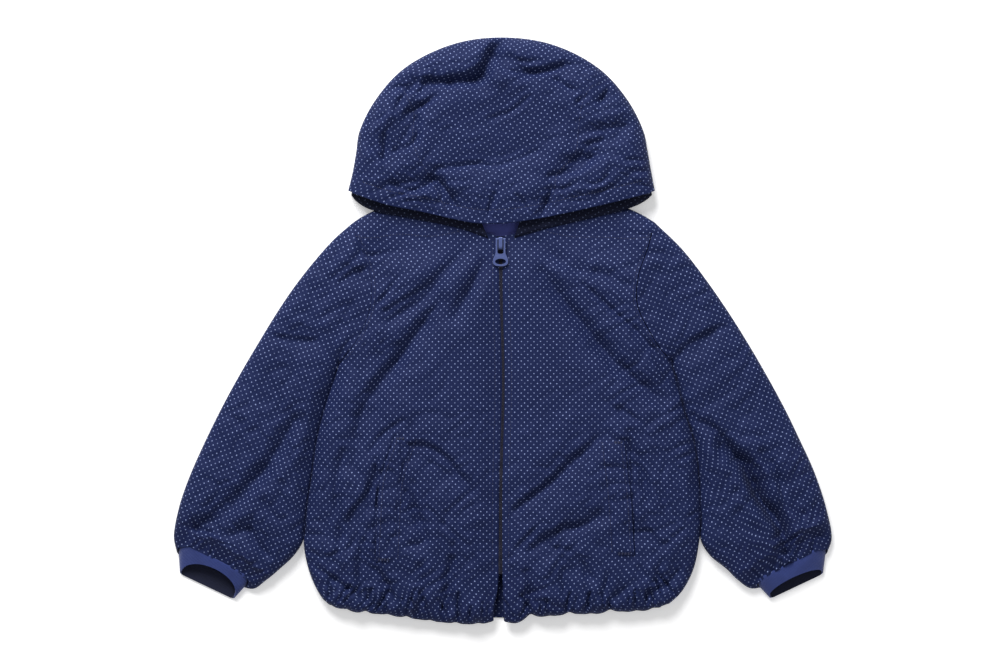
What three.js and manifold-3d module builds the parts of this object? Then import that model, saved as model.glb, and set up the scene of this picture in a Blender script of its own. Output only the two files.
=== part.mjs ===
// Child's hooded jacket of thin shell cloth, laid flat on its back with the zip closed.
// Millimetres, +Z up, hem towards -Y, hood towards +Y, the wearer's right side towards -X.

import * as THREE from 'three';
import * as BufferGeometryUtils from 'three/addons/utils/BufferGeometryUtils.js';
import Module from 'manifold-3d';

const wasm = await Module();
wasm.setup();

// Cloth and seams
const CLOTH = 1.2;
const CUFF_CLOTH = 1.8;
const SEAM = 0.3;

// Rolled edges: the height of the widest point, how far the cloth turns under, and how far in it levels out
const EDGE = 7;
const HEM_EDGE = 10;
const TURN_UNDER = 7;
const SHOULDER_RUN = 26;
const HOOD_EDGE = 11;
const HOOD_TURN_UNDER = 9;
const HOOD_RUN = 32;
const ROUNDNESS = 2.4;

// Fullness above the floor
const BODY_FULL = 19;
const BELLY_FULL = 3;
const ZIP_DIP = 5;
const NECK_FULL = 11.4;
const SLEEVE_FULL = 19;
const HOOD_FULL = 28;
const HOOD_DISH = 6;
const BRIM_FULL = 22;

// Zip
const ZIP_X = -2;
const ZIP_HALF_GAP = 2.4;
const ZIP_TOP = 96;
const ZIP_BOTTOM = -243;
const ZIP_TAPE = 1;

const ARMPIT_Y = -31;
const SIDE_LENGTH = 255;

// Hem casing, cuffs and pocket welts
const CASING_DEPTH = 20;
const CASING_ROLL = 2.6;
const BACK_HEM_SET_IN = 3;
const CUFF_EDGE = 5.5;
const CUFF_FULL = 12.5;
const CUFF_TURN_UNDER = 5;
const CUFF_EASE = 0.05;
const WRIST_TILT = 7;
const WELT_WIDTH = 20;
const WELT_CLEAR = 0.75;
const TAPE_WIDTH = 11;

// Lower front edge of the hood, which lies over the neck
const LIP_BASE = 13.6;
const LIP_END = 4.2;
const LIP_PUFF = 3;

// Outlines, as seen from above. Every row is one point of a smooth curve.
const OUTLINES = {
  left: {
    side: [
      [-167, -276], [-179, -268], [-188, -254], [-195, -236], [-198.5, -212], [-196.5, -183],
      [-191, -143], [-186, -108], [-176.5, -70], [-168, -45], [-163.8, -31],
    ],
    armhole: [[-163.8, -31], [-155, -22], [-142, -2], [-131.5, 27], [-131.5, 55], [-142, 86], [-152, 108]],
    shoulder: [[-77, 138], [-128, 122], [-146.5, 112], [-152, 108]],
    sleeveOuter: [
      [-152, 108], [-170, 92], [-196, 62], [-218, 32], [-246, -13], [-272, -58], [-295, -103],
      [-315, -148], [-325, -178], [-330, -205], [-327, -220],
    ],
    sleeveInner: [
      [-164.4, -31], [-171, -45], [-180, -70], [-189.5, -108], [-194.5, -143], [-200.5, -183],
      [-204, -208], [-211, -224], [-225, -239], [-238, -250], [-249, -257.5], [-257, -255.5],
    ],
    hem: [
      [-167, -276], [-152, -279], [-122, -282], [-92, -286], [-62, -290], [-32, -292], [-20, -291.5],
      [-8.9, -289],
    ],
    yokeSeam: [[-147.6, 98.5], [-132, 97], [-103, 101], [-70, 99], [-42, 104]],
    neckline: [[-42, 104], [-20, 100], [-4.4, 96]],
    yokeNeck: [[-42, 104], [-62, 118], [-77, 138]],
    cuffMouth: [[-323.5, -240], [-268.5, -266]],
    lipFold: [[-14, 95], [-44, 105], [-98, 116], [-124, 124], [-149, 137.5]],
    lipInner: [[-21, 110], [-48, 123], [-98, 137], [-128, 143], [-147, 142.5]],
    welt: [[-107, -104], [-122, -150], [-124, -175], [-126.5, -229]],
  },
  right: {
    side: [
      [167, -272], [178, -262], [187, -248], [193, -233], [197, -212], [199.5, -188],
      [198, -150], [193.5, -113], [183.5, -80], [174, -44], [169.3, -29],
    ],
    armhole: [[169.3, -29], [160, -20], [147, 0], [134.5, 28], [135.5, 55], [146, 86], [152.5, 110]],
    shoulder: [[77, 138], [122, 125.5], [140, 117.5], [152.5, 110]],
    sleeveOuter: [
      [152.5, 110], [177.5, 86], [192.5, 68], [222.5, 26], [252.5, -22], [282.5, -76],
      [297.5, -107], [312.5, -140], [325, -178], [330.5, -207], [326.5, -220],
    ],
    sleeveInner: [
      [169.9, -29], [177, -44], [186.5, -80], [196.7, -113], [201.2, -150], [202.7, -188],
      [204, -208], [210.5, -224], [225, -238], [236, -249], [248, -257], [256.5, -256],
    ],
    hem: [
      [167, -272], [150, -277], [128, -279.5], [107, -279], [92, -282], [68, -281.5], [45, -284.5],
      [27, -284], [14, -291], [1.4, -289.5],
    ],
    yokeSeam: [[148.6, 98.5], [132, 96.5], [100, 98], [69, 98.5], [42, 104]],
    neckline: [[42, 104], [20, 100], [0.4, 96]],
    yokeNeck: [[42, 104], [62, 118], [77, 138]],
    cuffMouth: [[321.5, -240], [267.5, -265.5]],
    lipFold: [[10, 95], [42, 104], [97, 117], [121, 125], [147.5, 137.5]],
    lipInner: [[17, 110], [48, 123], [98, 137], [128, 143], [145.5, 142.5]],
    welt: [[121, -108], [124.5, -138], [127.5, -163], [131.5, -223]],
  },
};

const HOOD_RIM = [
  [-154.5, 141.5], [-150, 160], [-146.5, 180], [-143.5, 200], [-127.5, 232], [-98.5, 264],
  [-50.5, 288], [-2.5, 295], [49.5, 288], [96.5, 264], [125.5, 232], [141.5, 200], [145.5, 180],
  [149, 160], [152.5, 141.5],
];
const HOOD_BRIM = [
  [-150, 139.5], [-116.5, 128], [-77.5, 120], [-47.5, 113], [-28, 109.5], [-2.5, 109], [36.5, 114],
  [97.5, 127], [148, 139.5],
];
const HOOD_NECK = [
  [-148, 140], [-126, 129], [-98, 134], [-76, 141], [-45, 124], [0, 113], [45, 124], [76, 141],
  [98, 136], [123, 129], [146, 140],
];
// Where the three hood panels meet, as shares of the way along brim, crown and neck
const HOOD_SEAMS = [
  { brim: 0, rim: 0, neck: 0 },
  { brim: 0.342, rim: 0.28, neck: 0.36 },
  { brim: 0.626, rim: 0.72, neck: 0.64 },
  { brim: 1, rim: 1, neck: 1 },
];
const HOOD_SEAM_SHARE = 0.0006;

// Folds that show from a step away: a trough from one point to another, its half width and its depth
const BODY_FOLDS = [
  { from: [-62, 32], to: [-108, -33], width: 15, depth: 5 },
  { from: [-108, -33], to: [-152, -133], width: 14, depth: 4.5 },
  { from: [40, 60], to: [98, -15], width: 15, depth: 5 },
  { from: [98, -15], to: [160, -73], width: 14, depth: 4.5 },
  { from: [-20, 67], to: [-47, 15], width: 10, depth: 2.5 },
  { from: [-40, 80], to: [-112, 10], width: 9, depth: 3 },
  { from: [35, 90], to: [103, 56], width: 10, depth: 2.5 },
  { from: [75, 52], to: [133, 2], width: 9, depth: 3 },
  { from: [133, 2], to: [174, -60], width: 9, depth: 3 },
  { from: [-100, 82], to: [-137, 76], width: 8, depth: 2.5 },
  { from: [-160, 50], to: [-130, 62], width: 8, depth: 2.5 },
  { from: [-130, -118], to: [-100, -89], width: 9, depth: 3 },
  { from: [-92, -113], to: [-33, -160], width: 11, depth: 3 },
  { from: [-95, -160], to: [-77, -208], width: 10, depth: 3.5 },
  { from: [-122, -140], to: [-151, -205], width: 10, depth: 3 },
  { from: [-141, -213], to: [-133, -273], width: 9, depth: 4 },
  { from: [-127, -238], to: [-110, -268], width: 9, depth: 4 },
  { from: [-50, -228], to: [-53, -278], width: 12, depth: 3.5 },
  { from: [-190, -233], to: [-143, -265], width: 9, depth: 2.5 },
  { from: [95, -108], to: [14, -178], width: 12, depth: 4 },
  { from: [98, -183], to: [30, -218], width: 10, depth: 3 },
  { from: [112, -75], to: [138, -90], width: 9, depth: 2.5 },
  { from: [130, -100], to: [145, -168], width: 9, depth: 3 },
  { from: [47, -215], to: [88, -245], width: 10, depth: 3 },
  { from: [132, -200], to: [155, -213], width: 9, depth: 2.5 },
  { from: [178, -238], to: [147, -263], width: 9, depth: 3.5 },
  { from: [60, -238], to: [63, -272], width: 9, depth: 3 },
  { from: [118, -258], to: [113, -274], width: 8, depth: 3 },
  { from: [27, -262], to: [28, -284], width: 8, depth: 3 },
];

const SLEEVE_FOLDS = [
  { from: [-228, -5], to: [-186, -9], width: 9, depth: 3 },
  { from: [-208, -88], to: [-242, -143], width: 11, depth: 4 },
  { from: [-242, -143], to: [-315, -203], width: 10, depth: 4 },
  { from: [-307, -200], to: [-252, -198], width: 9, depth: 3.5 },
  { from: [-252, -198], to: [-232, -225], width: 9, depth: 3 },
  { from: [173, -28], to: [222, 5], width: 10, depth: 2.5 },
  { from: [190, -88], to: [260, -145], width: 11, depth: 3 },
  { from: [243, -138], to: [270, -185], width: 11, depth: 5 },
  { from: [270, -185], to: [287, -223], width: 9, depth: 4 },
  { from: [262, -122], to: [300, -183], width: 9, depth: 3 },
  { from: [298, -215], to: [322, -208], width: 8, depth: 3 },
];

const HOOD_FOLDS = [
  { from: [2, 291], to: [-22, 251], width: 9, depth: 5 },
  { from: [-22, 251], to: [-104, 245], width: 10, depth: 5 },
  { from: [-65, 235], to: [-95, 217], width: 9, depth: 3.5 },
  { from: [-85, 215], to: [-106, 180], width: 10, depth: 4 },
  { from: [-117, 195], to: [-117, 170], width: 9, depth: 4 },
  { from: [-110, 147], to: [-68, 152], width: 9, depth: 4 },
  { from: [-68, 152], to: [-46, 125], width: 8, depth: 3.5 },
  { from: [-65, 162], to: [35, 180], width: 12, depth: 2.5 },
  { from: [-7, 275], to: [28, 258], width: 9, depth: 3.5 },
  { from: [28, 258], to: [80, 267], width: 9, depth: 3.5 },
  { from: [52, 251], to: [72, 240], width: 9, depth: 3 },
  { from: [78, 197], to: [122, 205], width: 9, depth: 4 },
  { from: [72, 172], to: [115, 190], width: 9, depth: 4 },
  { from: [48, 155], to: [88, 172], width: 9, depth: 3.5 },
  { from: [50, 142], to: [40, 117], width: 8, depth: 3 },
  { from: [108, 245], to: [97, 227], width: 9, depth: 3 },
];

// How the grid lines lie across the pieces
const FRONT_COLUMNS = [
  0, 0.01, 0.035, 0.08, 0.15, 0.235, 0.325, 0.415, 0.505, 0.595, 0.685, 0.775, 0.86, 0.93, 1,
];
const SIDE_ROWS = [0, 2, 7, 15, 28, 46, 65, 84, 103, 122, 142, 162, 182, 202, 222, 240];
const RING_TOP = [0, 0.02, 0.072, 0.16, 0.27, 0.38, 0.49, 0.6, 0.71, 0.81, 0.9, 0.965, 1];
const RING_UNDER = [0.75, 0.5, 0.25];
const RING_TURNS = [35, 90];
// The yoke ends at this grid line of the ring, counted from the shoulder
const YOKE_LINE = 2;
const SLEEVE_RINGS = [
  0, 0.025, 0.07, 0.12, 0.17, 0.22, 0.275, 0.33, 0.385, 0.44, 0.495, 0.55, 0.605, 0.66, 0.715, 0.77,
  0.825, 0.875, 0.925, 0.965, 1,
];
const UNDER_TURNS = [90, 58, 28];
const YOKE_ROWS = [0, 0.35, 0.7, 0.92, 1];
const YOKE_COLUMNS = 8;
const HOOD_ROWS = [0, 0.09, 0.19, 0.3, 0.41, 0.52, 0.63, 0.74, 0.83, 0.9, 0.96, 1];
const HOOD_LINES = 8;
const LIP_COLUMNS = 10;
const LIP_ROWS = [0, 0.08, 0.25, 0.6, 1];

// Colours as the photographed cloth and fittings have them
const FINISHES = {
  shell: { color: 0x222a52, roughness: 0.72, metalness: 0 },
  trim: { color: 0x2e3a6e, roughness: 0.9, metalness: 0 },
  zip: { color: 0x1e2444, roughness: 0.8, metalness: 0 },
  hardware: { color: 0x5a68a0, roughness: 0.4, metalness: 0.2 },
};

const group = new THREE.Group();
group.name = 'jacket';

// Plain number helpers

function clamp01(value) {
  return Math.min(1, Math.max(0, value));
}

function smoothstep(start, end, value) {
  const t = clamp01((value - start) / (end - start));
  return t * t * (3 - 2 * t);
}

function mix(a, b, t) {
  return a + (b - a) * t;
}

function mixPoint(a, b, t) {
  return [mix(a[0], b[0], t), mix(a[1], b[1], t)];
}

// A smooth curve through points seen from above, read by its share of the whole length
function curveThrough(points) {
  const spline = new THREE.CatmullRomCurve3(
    points.map(([x, y]) => new THREE.Vector3(x, y, 0)), false, 'centripetal');
  spline.arcLengthDivisions = 400;
  return (share) => {
    const point = spline.getPointAt(clamp01(share));
    return [point.x, point.y];
  };
}

function sampled(curve, steps) {
  return Array.from({ length: steps + 1 }, (_, k) => curve(k / steps));
}

function distanceToSegment(x, y, a, b) {
  const dx = b[0] - a[0];
  const dy = b[1] - a[1];
  const along = clamp01(((x - a[0]) * dx + (y - a[1]) * dy) / (dx * dx + dy * dy));
  return [Math.hypot(x - a[0] - along * dx, y - a[1] - along * dy), along];
}

function distanceToLines(x, y, lines) {
  let nearest = Infinity;
  for (const line of lines) {
    for (let k = 1; k < line.length; k += 1) {
      nearest = Math.min(nearest, distanceToSegment(x, y, line[k - 1], line[k])[0]);
    }
  }
  return nearest;
}

// Cloth rising from a rolled edge: 0 at the edge, 1 where it levels out
function rise(distance, run) {
  return (1 - (1 - clamp01(distance / run)) ** ROUNDNESS) ** (1 / ROUNDNESS);
}

function foldDepth(x, y, folds) {
  let depth = 0;
  for (const fold of folds) {
    const [distance, along] = distanceToSegment(x, y, fold.from, fold.to);
    const across = distance / fold.width;
    const fade = 0.55 + 0.45 * Math.sin(Math.PI * along);
    depth += fold.depth * fade * (Math.exp(-across * across) - 0.3 * Math.exp(-((across - 1.9) ** 2)));
  }
  return depth;
}

// Form of body and sleeves: one height over the plan, so that seams meet

const curves = {};
for (const [side, outline] of Object.entries(OUTLINES)) {
  curves[side] = Object.fromEntries(
    Object.entries(outline).map(([name, points]) => [name, curveThrough(points)]));
}

const GARMENT_EDGES = ['left', 'right'].flatMap((side) => [
  sampled(curves[side].side, 44),
  sampled(curves[side].shoulder, 12),
  sampled(curves[side].sleeveOuter, 60),
  sampled(curves[side].sleeveInner, 44),
  sampled(curves[side].hem, 30),
]);

function edgeHeight(y) {
  return mix(HEM_EDGE, EDGE, smoothstep(-272, -235, y));
}

// Ends of the sleeves and the axis that each leaves its cuff along
const WRISTS = Object.fromEntries(['left', 'right'].map((side) => {
  const outerEnd = curves[side].sleeveOuter(1);
  const innerEnd = curves[side].sleeveInner(1);
  const length = Math.hypot(innerEnd[0] - outerEnd[0], innerEnd[1] - outerEnd[1]);
  const across = [(innerEnd[0] - outerEnd[0]) / length, (innerEnd[1] - outerEnd[1]) / length];
  const axis = across[0] > 0 ? [across[1], -across[0]] : [-across[1], across[0]];
  return [side, { outerEnd, innerEnd, axis }];
}));
const WRIST_LINES = Object.values(WRISTS).map(({ outerEnd, innerEnd }) => [outerEnd, innerEnd]);

function garmentFullness(x, y) {
  const reach = Math.abs(x);
  const onNeck = smoothstep(52, 96, y) * (1 - smoothstep(112, 150, reach));
  const body = BODY_FULL
    + BELLY_FULL * Math.exp(-(((reach - 88) / 60) ** 2) - ((y + 130) / 110) ** 2)
    - ZIP_DIP * Math.exp(-(((x - ZIP_X) / 16) ** 2));
  const beyondArmhole = smoothstep(150, 185, reach);
  let sleeve = SLEEVE_FULL;
  if (reach > 205) {
    sleeve = mix(CUFF_FULL, SLEEVE_FULL, smoothstep(0, 26, distanceToLines(x, y, WRIST_LINES)));
  }
  return mix(mix(body, sleeve, beyondArmhole), NECK_FULL, onNeck);
}

function garmentFolds(x, y) {
  const settled = 1 - 0.75 * smoothstep(60, 96, y) * (1 - smoothstep(112, 150, Math.abs(x)));
  return settled * (foldDepth(x, y, BODY_FOLDS) + foldDepth(x, y, SLEEVE_FOLDS));
}

// Top of the cloth at a point of the plan; inset is 0 for the outer face and CLOTH for the inner one
function garmentTop(x, y, inset) {
  const distance = distanceToLines(x, y, GARMENT_EDGES) - inset;
  const up = rise(distance, SHOULDER_RUN - inset);
  const edge = edgeHeight(y);
  const flatTop = garmentFullness(x, y) - inset - edge;
  return edge + up * flatTop - up * up * garmentFolds(x, y);
}

// Form of the hood

const rimCurve = curveThrough(HOOD_RIM);
const brimCurve = curveThrough(HOOD_BRIM);
const hoodNeckCurve = curveThrough(HOOD_NECK);
const HOOD_EDGES = [sampled(rimCurve, 90)];

function hoodTop(x, y, inset) {
  const distance = distanceToLines(x, y, HOOD_EDGES) - inset;
  const up = rise(distance, HOOD_RUN - inset);
  const dish = HOOD_DISH * Math.exp(-(((x + 2) / 80) ** 2) - ((y - 185) / 50) ** 2);
  const full = mix(BRIM_FULL, HOOD_FULL - dish, smoothstep(112, 175, y));
  return HOOD_EDGE + up * (full - inset - HOOD_EDGE) - up * up * foldDepth(x, y, HOOD_FOLDS);
}

// Building closed walls

function addMesh(name, geometry, finish) {
  geometry.computeVertexNormals();
  const mesh = new THREE.Mesh(geometry, new THREE.MeshStandardMaterial(FINISHES[finish]));
  mesh.name = name;
  group.add(mesh);
  return mesh;
}

function signedVolume(positions, index) {
  let volume = 0;
  const a = new THREE.Vector3();
  const b = new THREE.Vector3();
  const c = new THREE.Vector3();
  for (let k = 0; k < index.length; k += 3) {
    a.fromArray(positions, index[k] * 3);
    b.fromArray(positions, index[k + 1] * 3);
    c.fromArray(positions, index[k + 2] * 3);
    volume += a.dot(b.cross(c)) / 6;
  }
  return volume;
}

// A wall of cloth from a grid: outer and inner give a point for grid line (i, j)
function wallGeometry({ columns, rows, outer, inner, closed = false, present = () => true }) {
  const lines = closed ? columns : columns + 1;
  const wrap = (i) => (closed ? i % columns : i);
  const positions = [];
  const vertexOf = new Map();
  const layers = [outer, inner];
  const vertex = (layer, i, j) => {
    const key = (layer * lines + wrap(i)) * (rows + 1) + j;
    if (!vertexOf.has(key)) {
      vertexOf.set(key, positions.length / 3);
      positions.push(...layers[layer](wrap(i), j));
    }
    return vertexOf.get(key);
  };
  const index = [];
  const quad = (a, b, c, d) => index.push(a, b, c, a, c, d);
  const isPresent = (i, j) => {
    if (j < 0 || j >= rows) return false;
    if (closed) return present((i + columns) % columns, j);
    return i >= 0 && i < columns && present(i, j);
  };
  const side = (i0, j0, i1, j1) => {
    quad(vertex(0, i1, j1), vertex(0, i0, j0), vertex(1, i0, j0), vertex(1, i1, j1));
  };
  for (let i = 0; i < columns; i += 1) {
    for (let j = 0; j < rows; j += 1) {
      if (!isPresent(i, j)) continue;
      quad(vertex(0, i, j), vertex(0, i + 1, j), vertex(0, i + 1, j + 1), vertex(0, i, j + 1));
      quad(vertex(1, i, j), vertex(1, i, j + 1), vertex(1, i + 1, j + 1), vertex(1, i + 1, j));
      if (!isPresent(i, j - 1)) side(i, j, i + 1, j);
      if (!isPresent(i + 1, j)) side(i + 1, j, i + 1, j + 1);
      if (!isPresent(i, j + 1)) side(i + 1, j + 1, i, j + 1);
      if (!isPresent(i - 1, j)) side(i, j + 1, i, j);
    }
  }
  if (signedVolume(positions, index) < 0) {
    for (let k = 0; k < index.length; k += 3) {
      [index[k + 1], index[k + 2]] = [index[k + 2], index[k + 1]];
    }
  }
  const geometry = new THREE.BufferGeometry();
  geometry.setAttribute('position', new THREE.Float32BufferAttribute(positions, 3));
  geometry.setIndex(index);
  return geometry;
}

// A quarter turn from the widest point of a rolled edge down to the floor
function turnUnder(edgePoint, inward, height, reach, degrees, inset) {
  const angle = THREE.MathUtils.degToRad(degrees);
  const travel = inset + (reach - inset) * (1 - Math.cos(angle));
  return [
    edgePoint[0] + inward[0] * travel,
    edgePoint[1] + inward[1] * travel,
    height - (height - inset) * Math.sin(angle),
  ];
}

// Direction into the cloth, square to a curve; sign picks the side
function inwardOf(curve, share, sign) {
  const before = curve(share - 0.01);
  const after = curve(share + 0.01);
  const dx = after[0] - before[0];
  const dy = after[1] - before[1];
  const length = Math.hypot(dx, dy);
  return [(-dy / length) * sign, (dx / length) * sign];
}

// Where the front panel's grid rows start at its side: up the side, then up the armhole
function frontRows(side) {
  const sign = side === 'left' ? 1 : -1;
  const { side: sideCurve, armhole, yokeSeam } = curves[side];
  const rows = [];
  for (const up of [...SIDE_ROWS, SIDE_LENGTH]) {
    const share = up / SIDE_LENGTH;
    rows.push({ at: sideCurve(share), inward: inwardOf(sideCurve, share, -sign), rolled: true });
  }
  for (let k = RING_TOP.length - 2; k > YOKE_LINE; k -= 1) {
    const point = armhole(1 - RING_TOP[k]);
    const clear = SEAM * (1 + 2 * smoothstep(0.8, 1, RING_TOP[k]));
    rows.push({ at: [point[0] + sign * clear, point[1]], rolled: false });
  }
  const top = armhole(1 - RING_TOP[YOKE_LINE]);
  rows.push({ at: [top[0] + sign * SEAM, top[1] - SEAM / 2], rolled: false });
  rows[rows.length - 1].seam = yokeSeam;
  return rows;
}

function zipEdge(side, y) {
  const opened = smoothstep(ZIP_BOTTOM, -288, y);
  return side === 'left'
    ? ZIP_X - ZIP_HALF_GAP - 4.5 * opened
    : ZIP_X + ZIP_HALF_GAP + 1 * opened;
}

function frontTopEdge(side, s) {
  const { yokeSeam, neckline } = curves[side];
  const split = 0.74;
  const point = s < split ? yokeSeam(s / split) : neckline((s - split) / (1 - split));
  return [point[0], point[1] - SEAM / 2];
}

function frontGrid(side) {
  const rows = frontRows(side);
  const last = rows.length - 1;
  const firstY = rows[0].at[1];
  const lastY = rows[last].at[1];
  const hem = curves[side].hem;
  const hemZip = hem(1);
  const zipPoint = (row) => {
    const y = row.at[1] < ARMPIT_Y
      ? mix(hemZip[1], ARMPIT_Y, (row.at[1] - firstY) / (ARMPIT_Y - firstY))
      : mix(ARMPIT_Y, ZIP_TOP, (row.at[1] - ARMPIT_Y) / (lastY - ARMPIT_Y));
    return [zipEdge(side, y), y];
  };
  const place = (s, j) => {
    const row = rows[j];
    const t = j / last;
    const straight = mixPoint(row.at, zipPoint(row), s);
    const firstStraight = mixPoint(rows[0].at, zipPoint(rows[0]), s);
    const lastStraight = mixPoint(rows[last].at, zipPoint(rows[last]), s);
    const hemPoint = hem(s);
    const topPoint = s === 0 ? rows[last].at : frontTopEdge(side, s);
    const nearHem = (1 - t) ** 2;
    const nearTop = t ** 6;
    return [0, 1].map((axis) => straight[axis]
      + nearHem * (hemPoint[axis] - firstStraight[axis])
      + nearTop * (topPoint[axis] - lastStraight[axis]));
  };
  const turns = UNDER_TURNS.length;
  const face = (inset) => (i, j) => {
    const row = rows[j];
    if (i < turns) {
      return turnUnder(row.at, row.inward, edgeHeight(row.at[1]), TURN_UNDER, UNDER_TURNS[i], inset);
    }
    const s = FRONT_COLUMNS[i - turns];
    let [x, y] = place(s, j);
    if (row.rolled) {
      const fade = inset * (1 - clamp01(s / 0.2));
      x += row.inward[0] * fade;
      y += row.inward[1] * fade;
    }
    if (j === 0) {
      y += inset * smoothstep(0, 0.1, s);
    }
    const onEdge = (row.rolled && s === 0) || j === 0;
    const z = onEdge ? edgeHeight(y) : garmentTop(x, y, inset);
    return [x, y, z];
  };
  return { rows, last, turns, place, face };
}

function frontPanel(grid) {
  const rolledRows = grid.rows.filter((row) => row.rolled).length;
  return wallGeometry({
    columns: grid.turns + FRONT_COLUMNS.length - 1,
    rows: grid.last,
    outer: grid.face(0),
    inner: grid.face(CLOTH),
    present: (i, j) => i >= grid.turns || j < rolledRows - 1,
  });
}

// Shoulder yoke: from its seam on the front, over the shoulder edge and a little way under

function yoke(side) {
  const sign = side === 'left' ? 1 : -1;
  const { armhole, shoulder, yokeSeam, yokeNeck } = curves[side];
  const atArmhole = (t) => {
    const point = armhole(1 - RING_TOP[YOKE_LINE] * (1 - t));
    return [point[0] + sign * SEAM, point[1]];
  };
  const place = (s, t) => {
    const start = atArmhole(t);
    const end = yokeNeck(t);
    const straight = mixPoint(start, end, s);
    const seamStraight = mixPoint(atArmhole(0), yokeNeck(0), s);
    const edgeStraight = mixPoint(atArmhole(1), yokeNeck(1), s);
    const seamPoint = s === 0 ? atArmhole(0) : yokeSeam(s);
    const edgePoint = s === 0 ? atArmhole(1) : shoulder(1 - s);
    return [0, 1].map((axis) => straight[axis]
      + (1 - t) * (seamPoint[axis] - seamStraight[axis])
      + t * (edgePoint[axis] - edgeStraight[axis]));
  };
  const turns = [...UNDER_TURNS].reverse();
  const inwardAt = (s) => inwardOf(shoulder, 1 - s, sign);
  const face = (inset) => (i, j) => {
    const s = i / YOKE_COLUMNS;
    const inward = inwardAt(s);
    if (j >= YOKE_ROWS.length) {
      const edge = place(s, 1);
      return turnUnder(edge, inward, EDGE, TURN_UNDER, turns[j - YOKE_ROWS.length], inset);
    }
    const t = YOKE_ROWS[j];
    const fade = inset * smoothstep(0.4, 1, t);
    const [x, y] = place(s, t);
    const at = [x + inward[0] * fade, y + inward[1] * fade + (j === 0 ? SEAM : 0)];
    return [...at, t === 1 ? EDGE : garmentTop(at[0], at[1], inset)];
  };
  return {
    face,
    lastRow: YOKE_ROWS.length - 1 + turns.length,
    geometry: wallGeometry({
      columns: YOKE_COLUMNS,
      rows: YOKE_ROWS.length - 1 + turns.length,
      outer: face(0),
      inner: face(CLOTH),
    }),
  };
}

// A tube laid flat: full on top, flat below, rolled at both sides
function tubeGeometry({ stations, plan, edge, under, top, tilt, cloth }) {
  const topCount = RING_TOP.length;
  const rounds = RING_TURNS.length;
  const around = topCount + 2 * rounds + RING_UNDER.length;
  const face = (inset) => (i, j) => {
    const v = stations[j];
    const start = plan(v, 0);
    const end = plan(v, 1);
    const length = Math.hypot(end[0] - start[0], end[1] - start[1]);
    const [turned, flat] = [i - topCount, i - topCount - rounds];
    let share;
    let z;
    if (turned < 0) {
      share = mix(inset / length, 1 - inset / length, RING_TOP[i]);
      const onEdge = i === 0 || i === topCount - 1;
      z = onEdge ? edge : null;
    } else if (turned < rounds || flat >= RING_UNDER.length) {
      const atEnd = turned < rounds;
      const turn = atEnd ? RING_TURNS[turned] : RING_TURNS[rounds - 1 - (flat - RING_UNDER.length)];
      const angle = THREE.MathUtils.degToRad(turn);
      const travel = (inset + (under - inset) * (1 - Math.cos(angle))) / length;
      share = atEnd ? 1 - travel : travel;
      z = edge - (edge - inset) * Math.sin(angle);
    } else {
      share = RING_UNDER[flat];
      z = inset;
    }
    const [x, y] = plan(v, share);
    if (z === null) z = top(x, y, v, share * length, (1 - share) * length, inset);
    const [shiftX, shiftY] = tilt(v, z);
    return [x + shiftX, y + shiftY, z];
  };
  return wallGeometry({
    columns: around,
    rows: stations.length - 1,
    outer: face(0),
    inner: face(cloth),
    closed: true,
  });
}

function sleevePlan(side) {
  const { sleeveOuter, sleeveInner, armhole } = curves[side];
  return (v, a) => {
    const chord = mixPoint(sleeveOuter(v), sleeveInner(v), a);
    const armholeChord = mixPoint(armhole(1), armhole(0), a);
    const seam = armhole(1 - a);
    const byArmpit = smoothstep(0.8, 1, a) * smoothstep(0, 0.03, v);
    const near = Math.max(0, 1 - v / 0.35) ** 2 * (1 - byArmpit);
    return [0, 1].map((axis) => chord[axis] + near * (seam[axis] - armholeChord[axis]));
  };
}

function wristShift(side, amount, z) {
  const { axis } = WRISTS[side];
  const back = (-WRIST_TILT * amount * (z - CUFF_EDGE)) / CUFF_FULL;
  return [axis[0] * back, axis[1] * back];
}

function sleeve(side) {
  return tubeGeometry({
    stations: SLEEVE_RINGS,
    plan: sleevePlan(side),
    edge: EDGE,
    under: TURN_UNDER,
    top: (x, y, v, fromOuter, fromInner, inset) => garmentTop(x, y, inset),
    tilt: (v, z) => wristShift(side, smoothstep(0.88, 1, v), z),
    cloth: CLOTH,
  });
}

function cuff(side) {
  const { outerEnd, innerEnd, axis } = WRISTS[side];
  const set = (share) => {
    const point = mixPoint(outerEnd, innerEnd, share);
    return [point[0] + axis[0] * SEAM * 1.5, point[1] + axis[1] * SEAM * 1.5];
  };
  const seamEnds = [set(CUFF_EASE), set(1 - CUFF_EASE)];
  const [mouthStart, mouthEnd] = OUTLINES[side].cuffMouth;
  return tubeGeometry({
    stations: [0, 0.33, 0.66, 1],
    plan: (v, a) => mixPoint(mixPoint(...seamEnds, a), mixPoint(mouthStart, mouthEnd, a), v),
    edge: CUFF_EDGE,
    under: CUFF_TURN_UNDER,
    top: (x, y, v, fromOuter, fromInner, inset) => {
      const distance = Math.min(fromOuter, fromInner) - inset;
      const up = rise(distance, CUFF_FULL - inset);
      return CUFF_EDGE + up * (CUFF_FULL - inset - CUFF_EDGE);
    },
    tilt: (v, z) => wristShift(side, 1, z),
    cloth: CUFF_CLOTH,
  });
}

// A flat piece of cloth of a given outline, from one height up
function flatPiece(outline, base, thickness) {
  const shape = new THREE.Shape(outline.map(([x, y]) => new THREE.Vector2(x, y)));
  const geometry = new THREE.ExtrudeGeometry(shape, { depth: thickness, bevelEnabled: false });
  geometry.translate(0, 0, base);
  return geometry;
}

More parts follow.
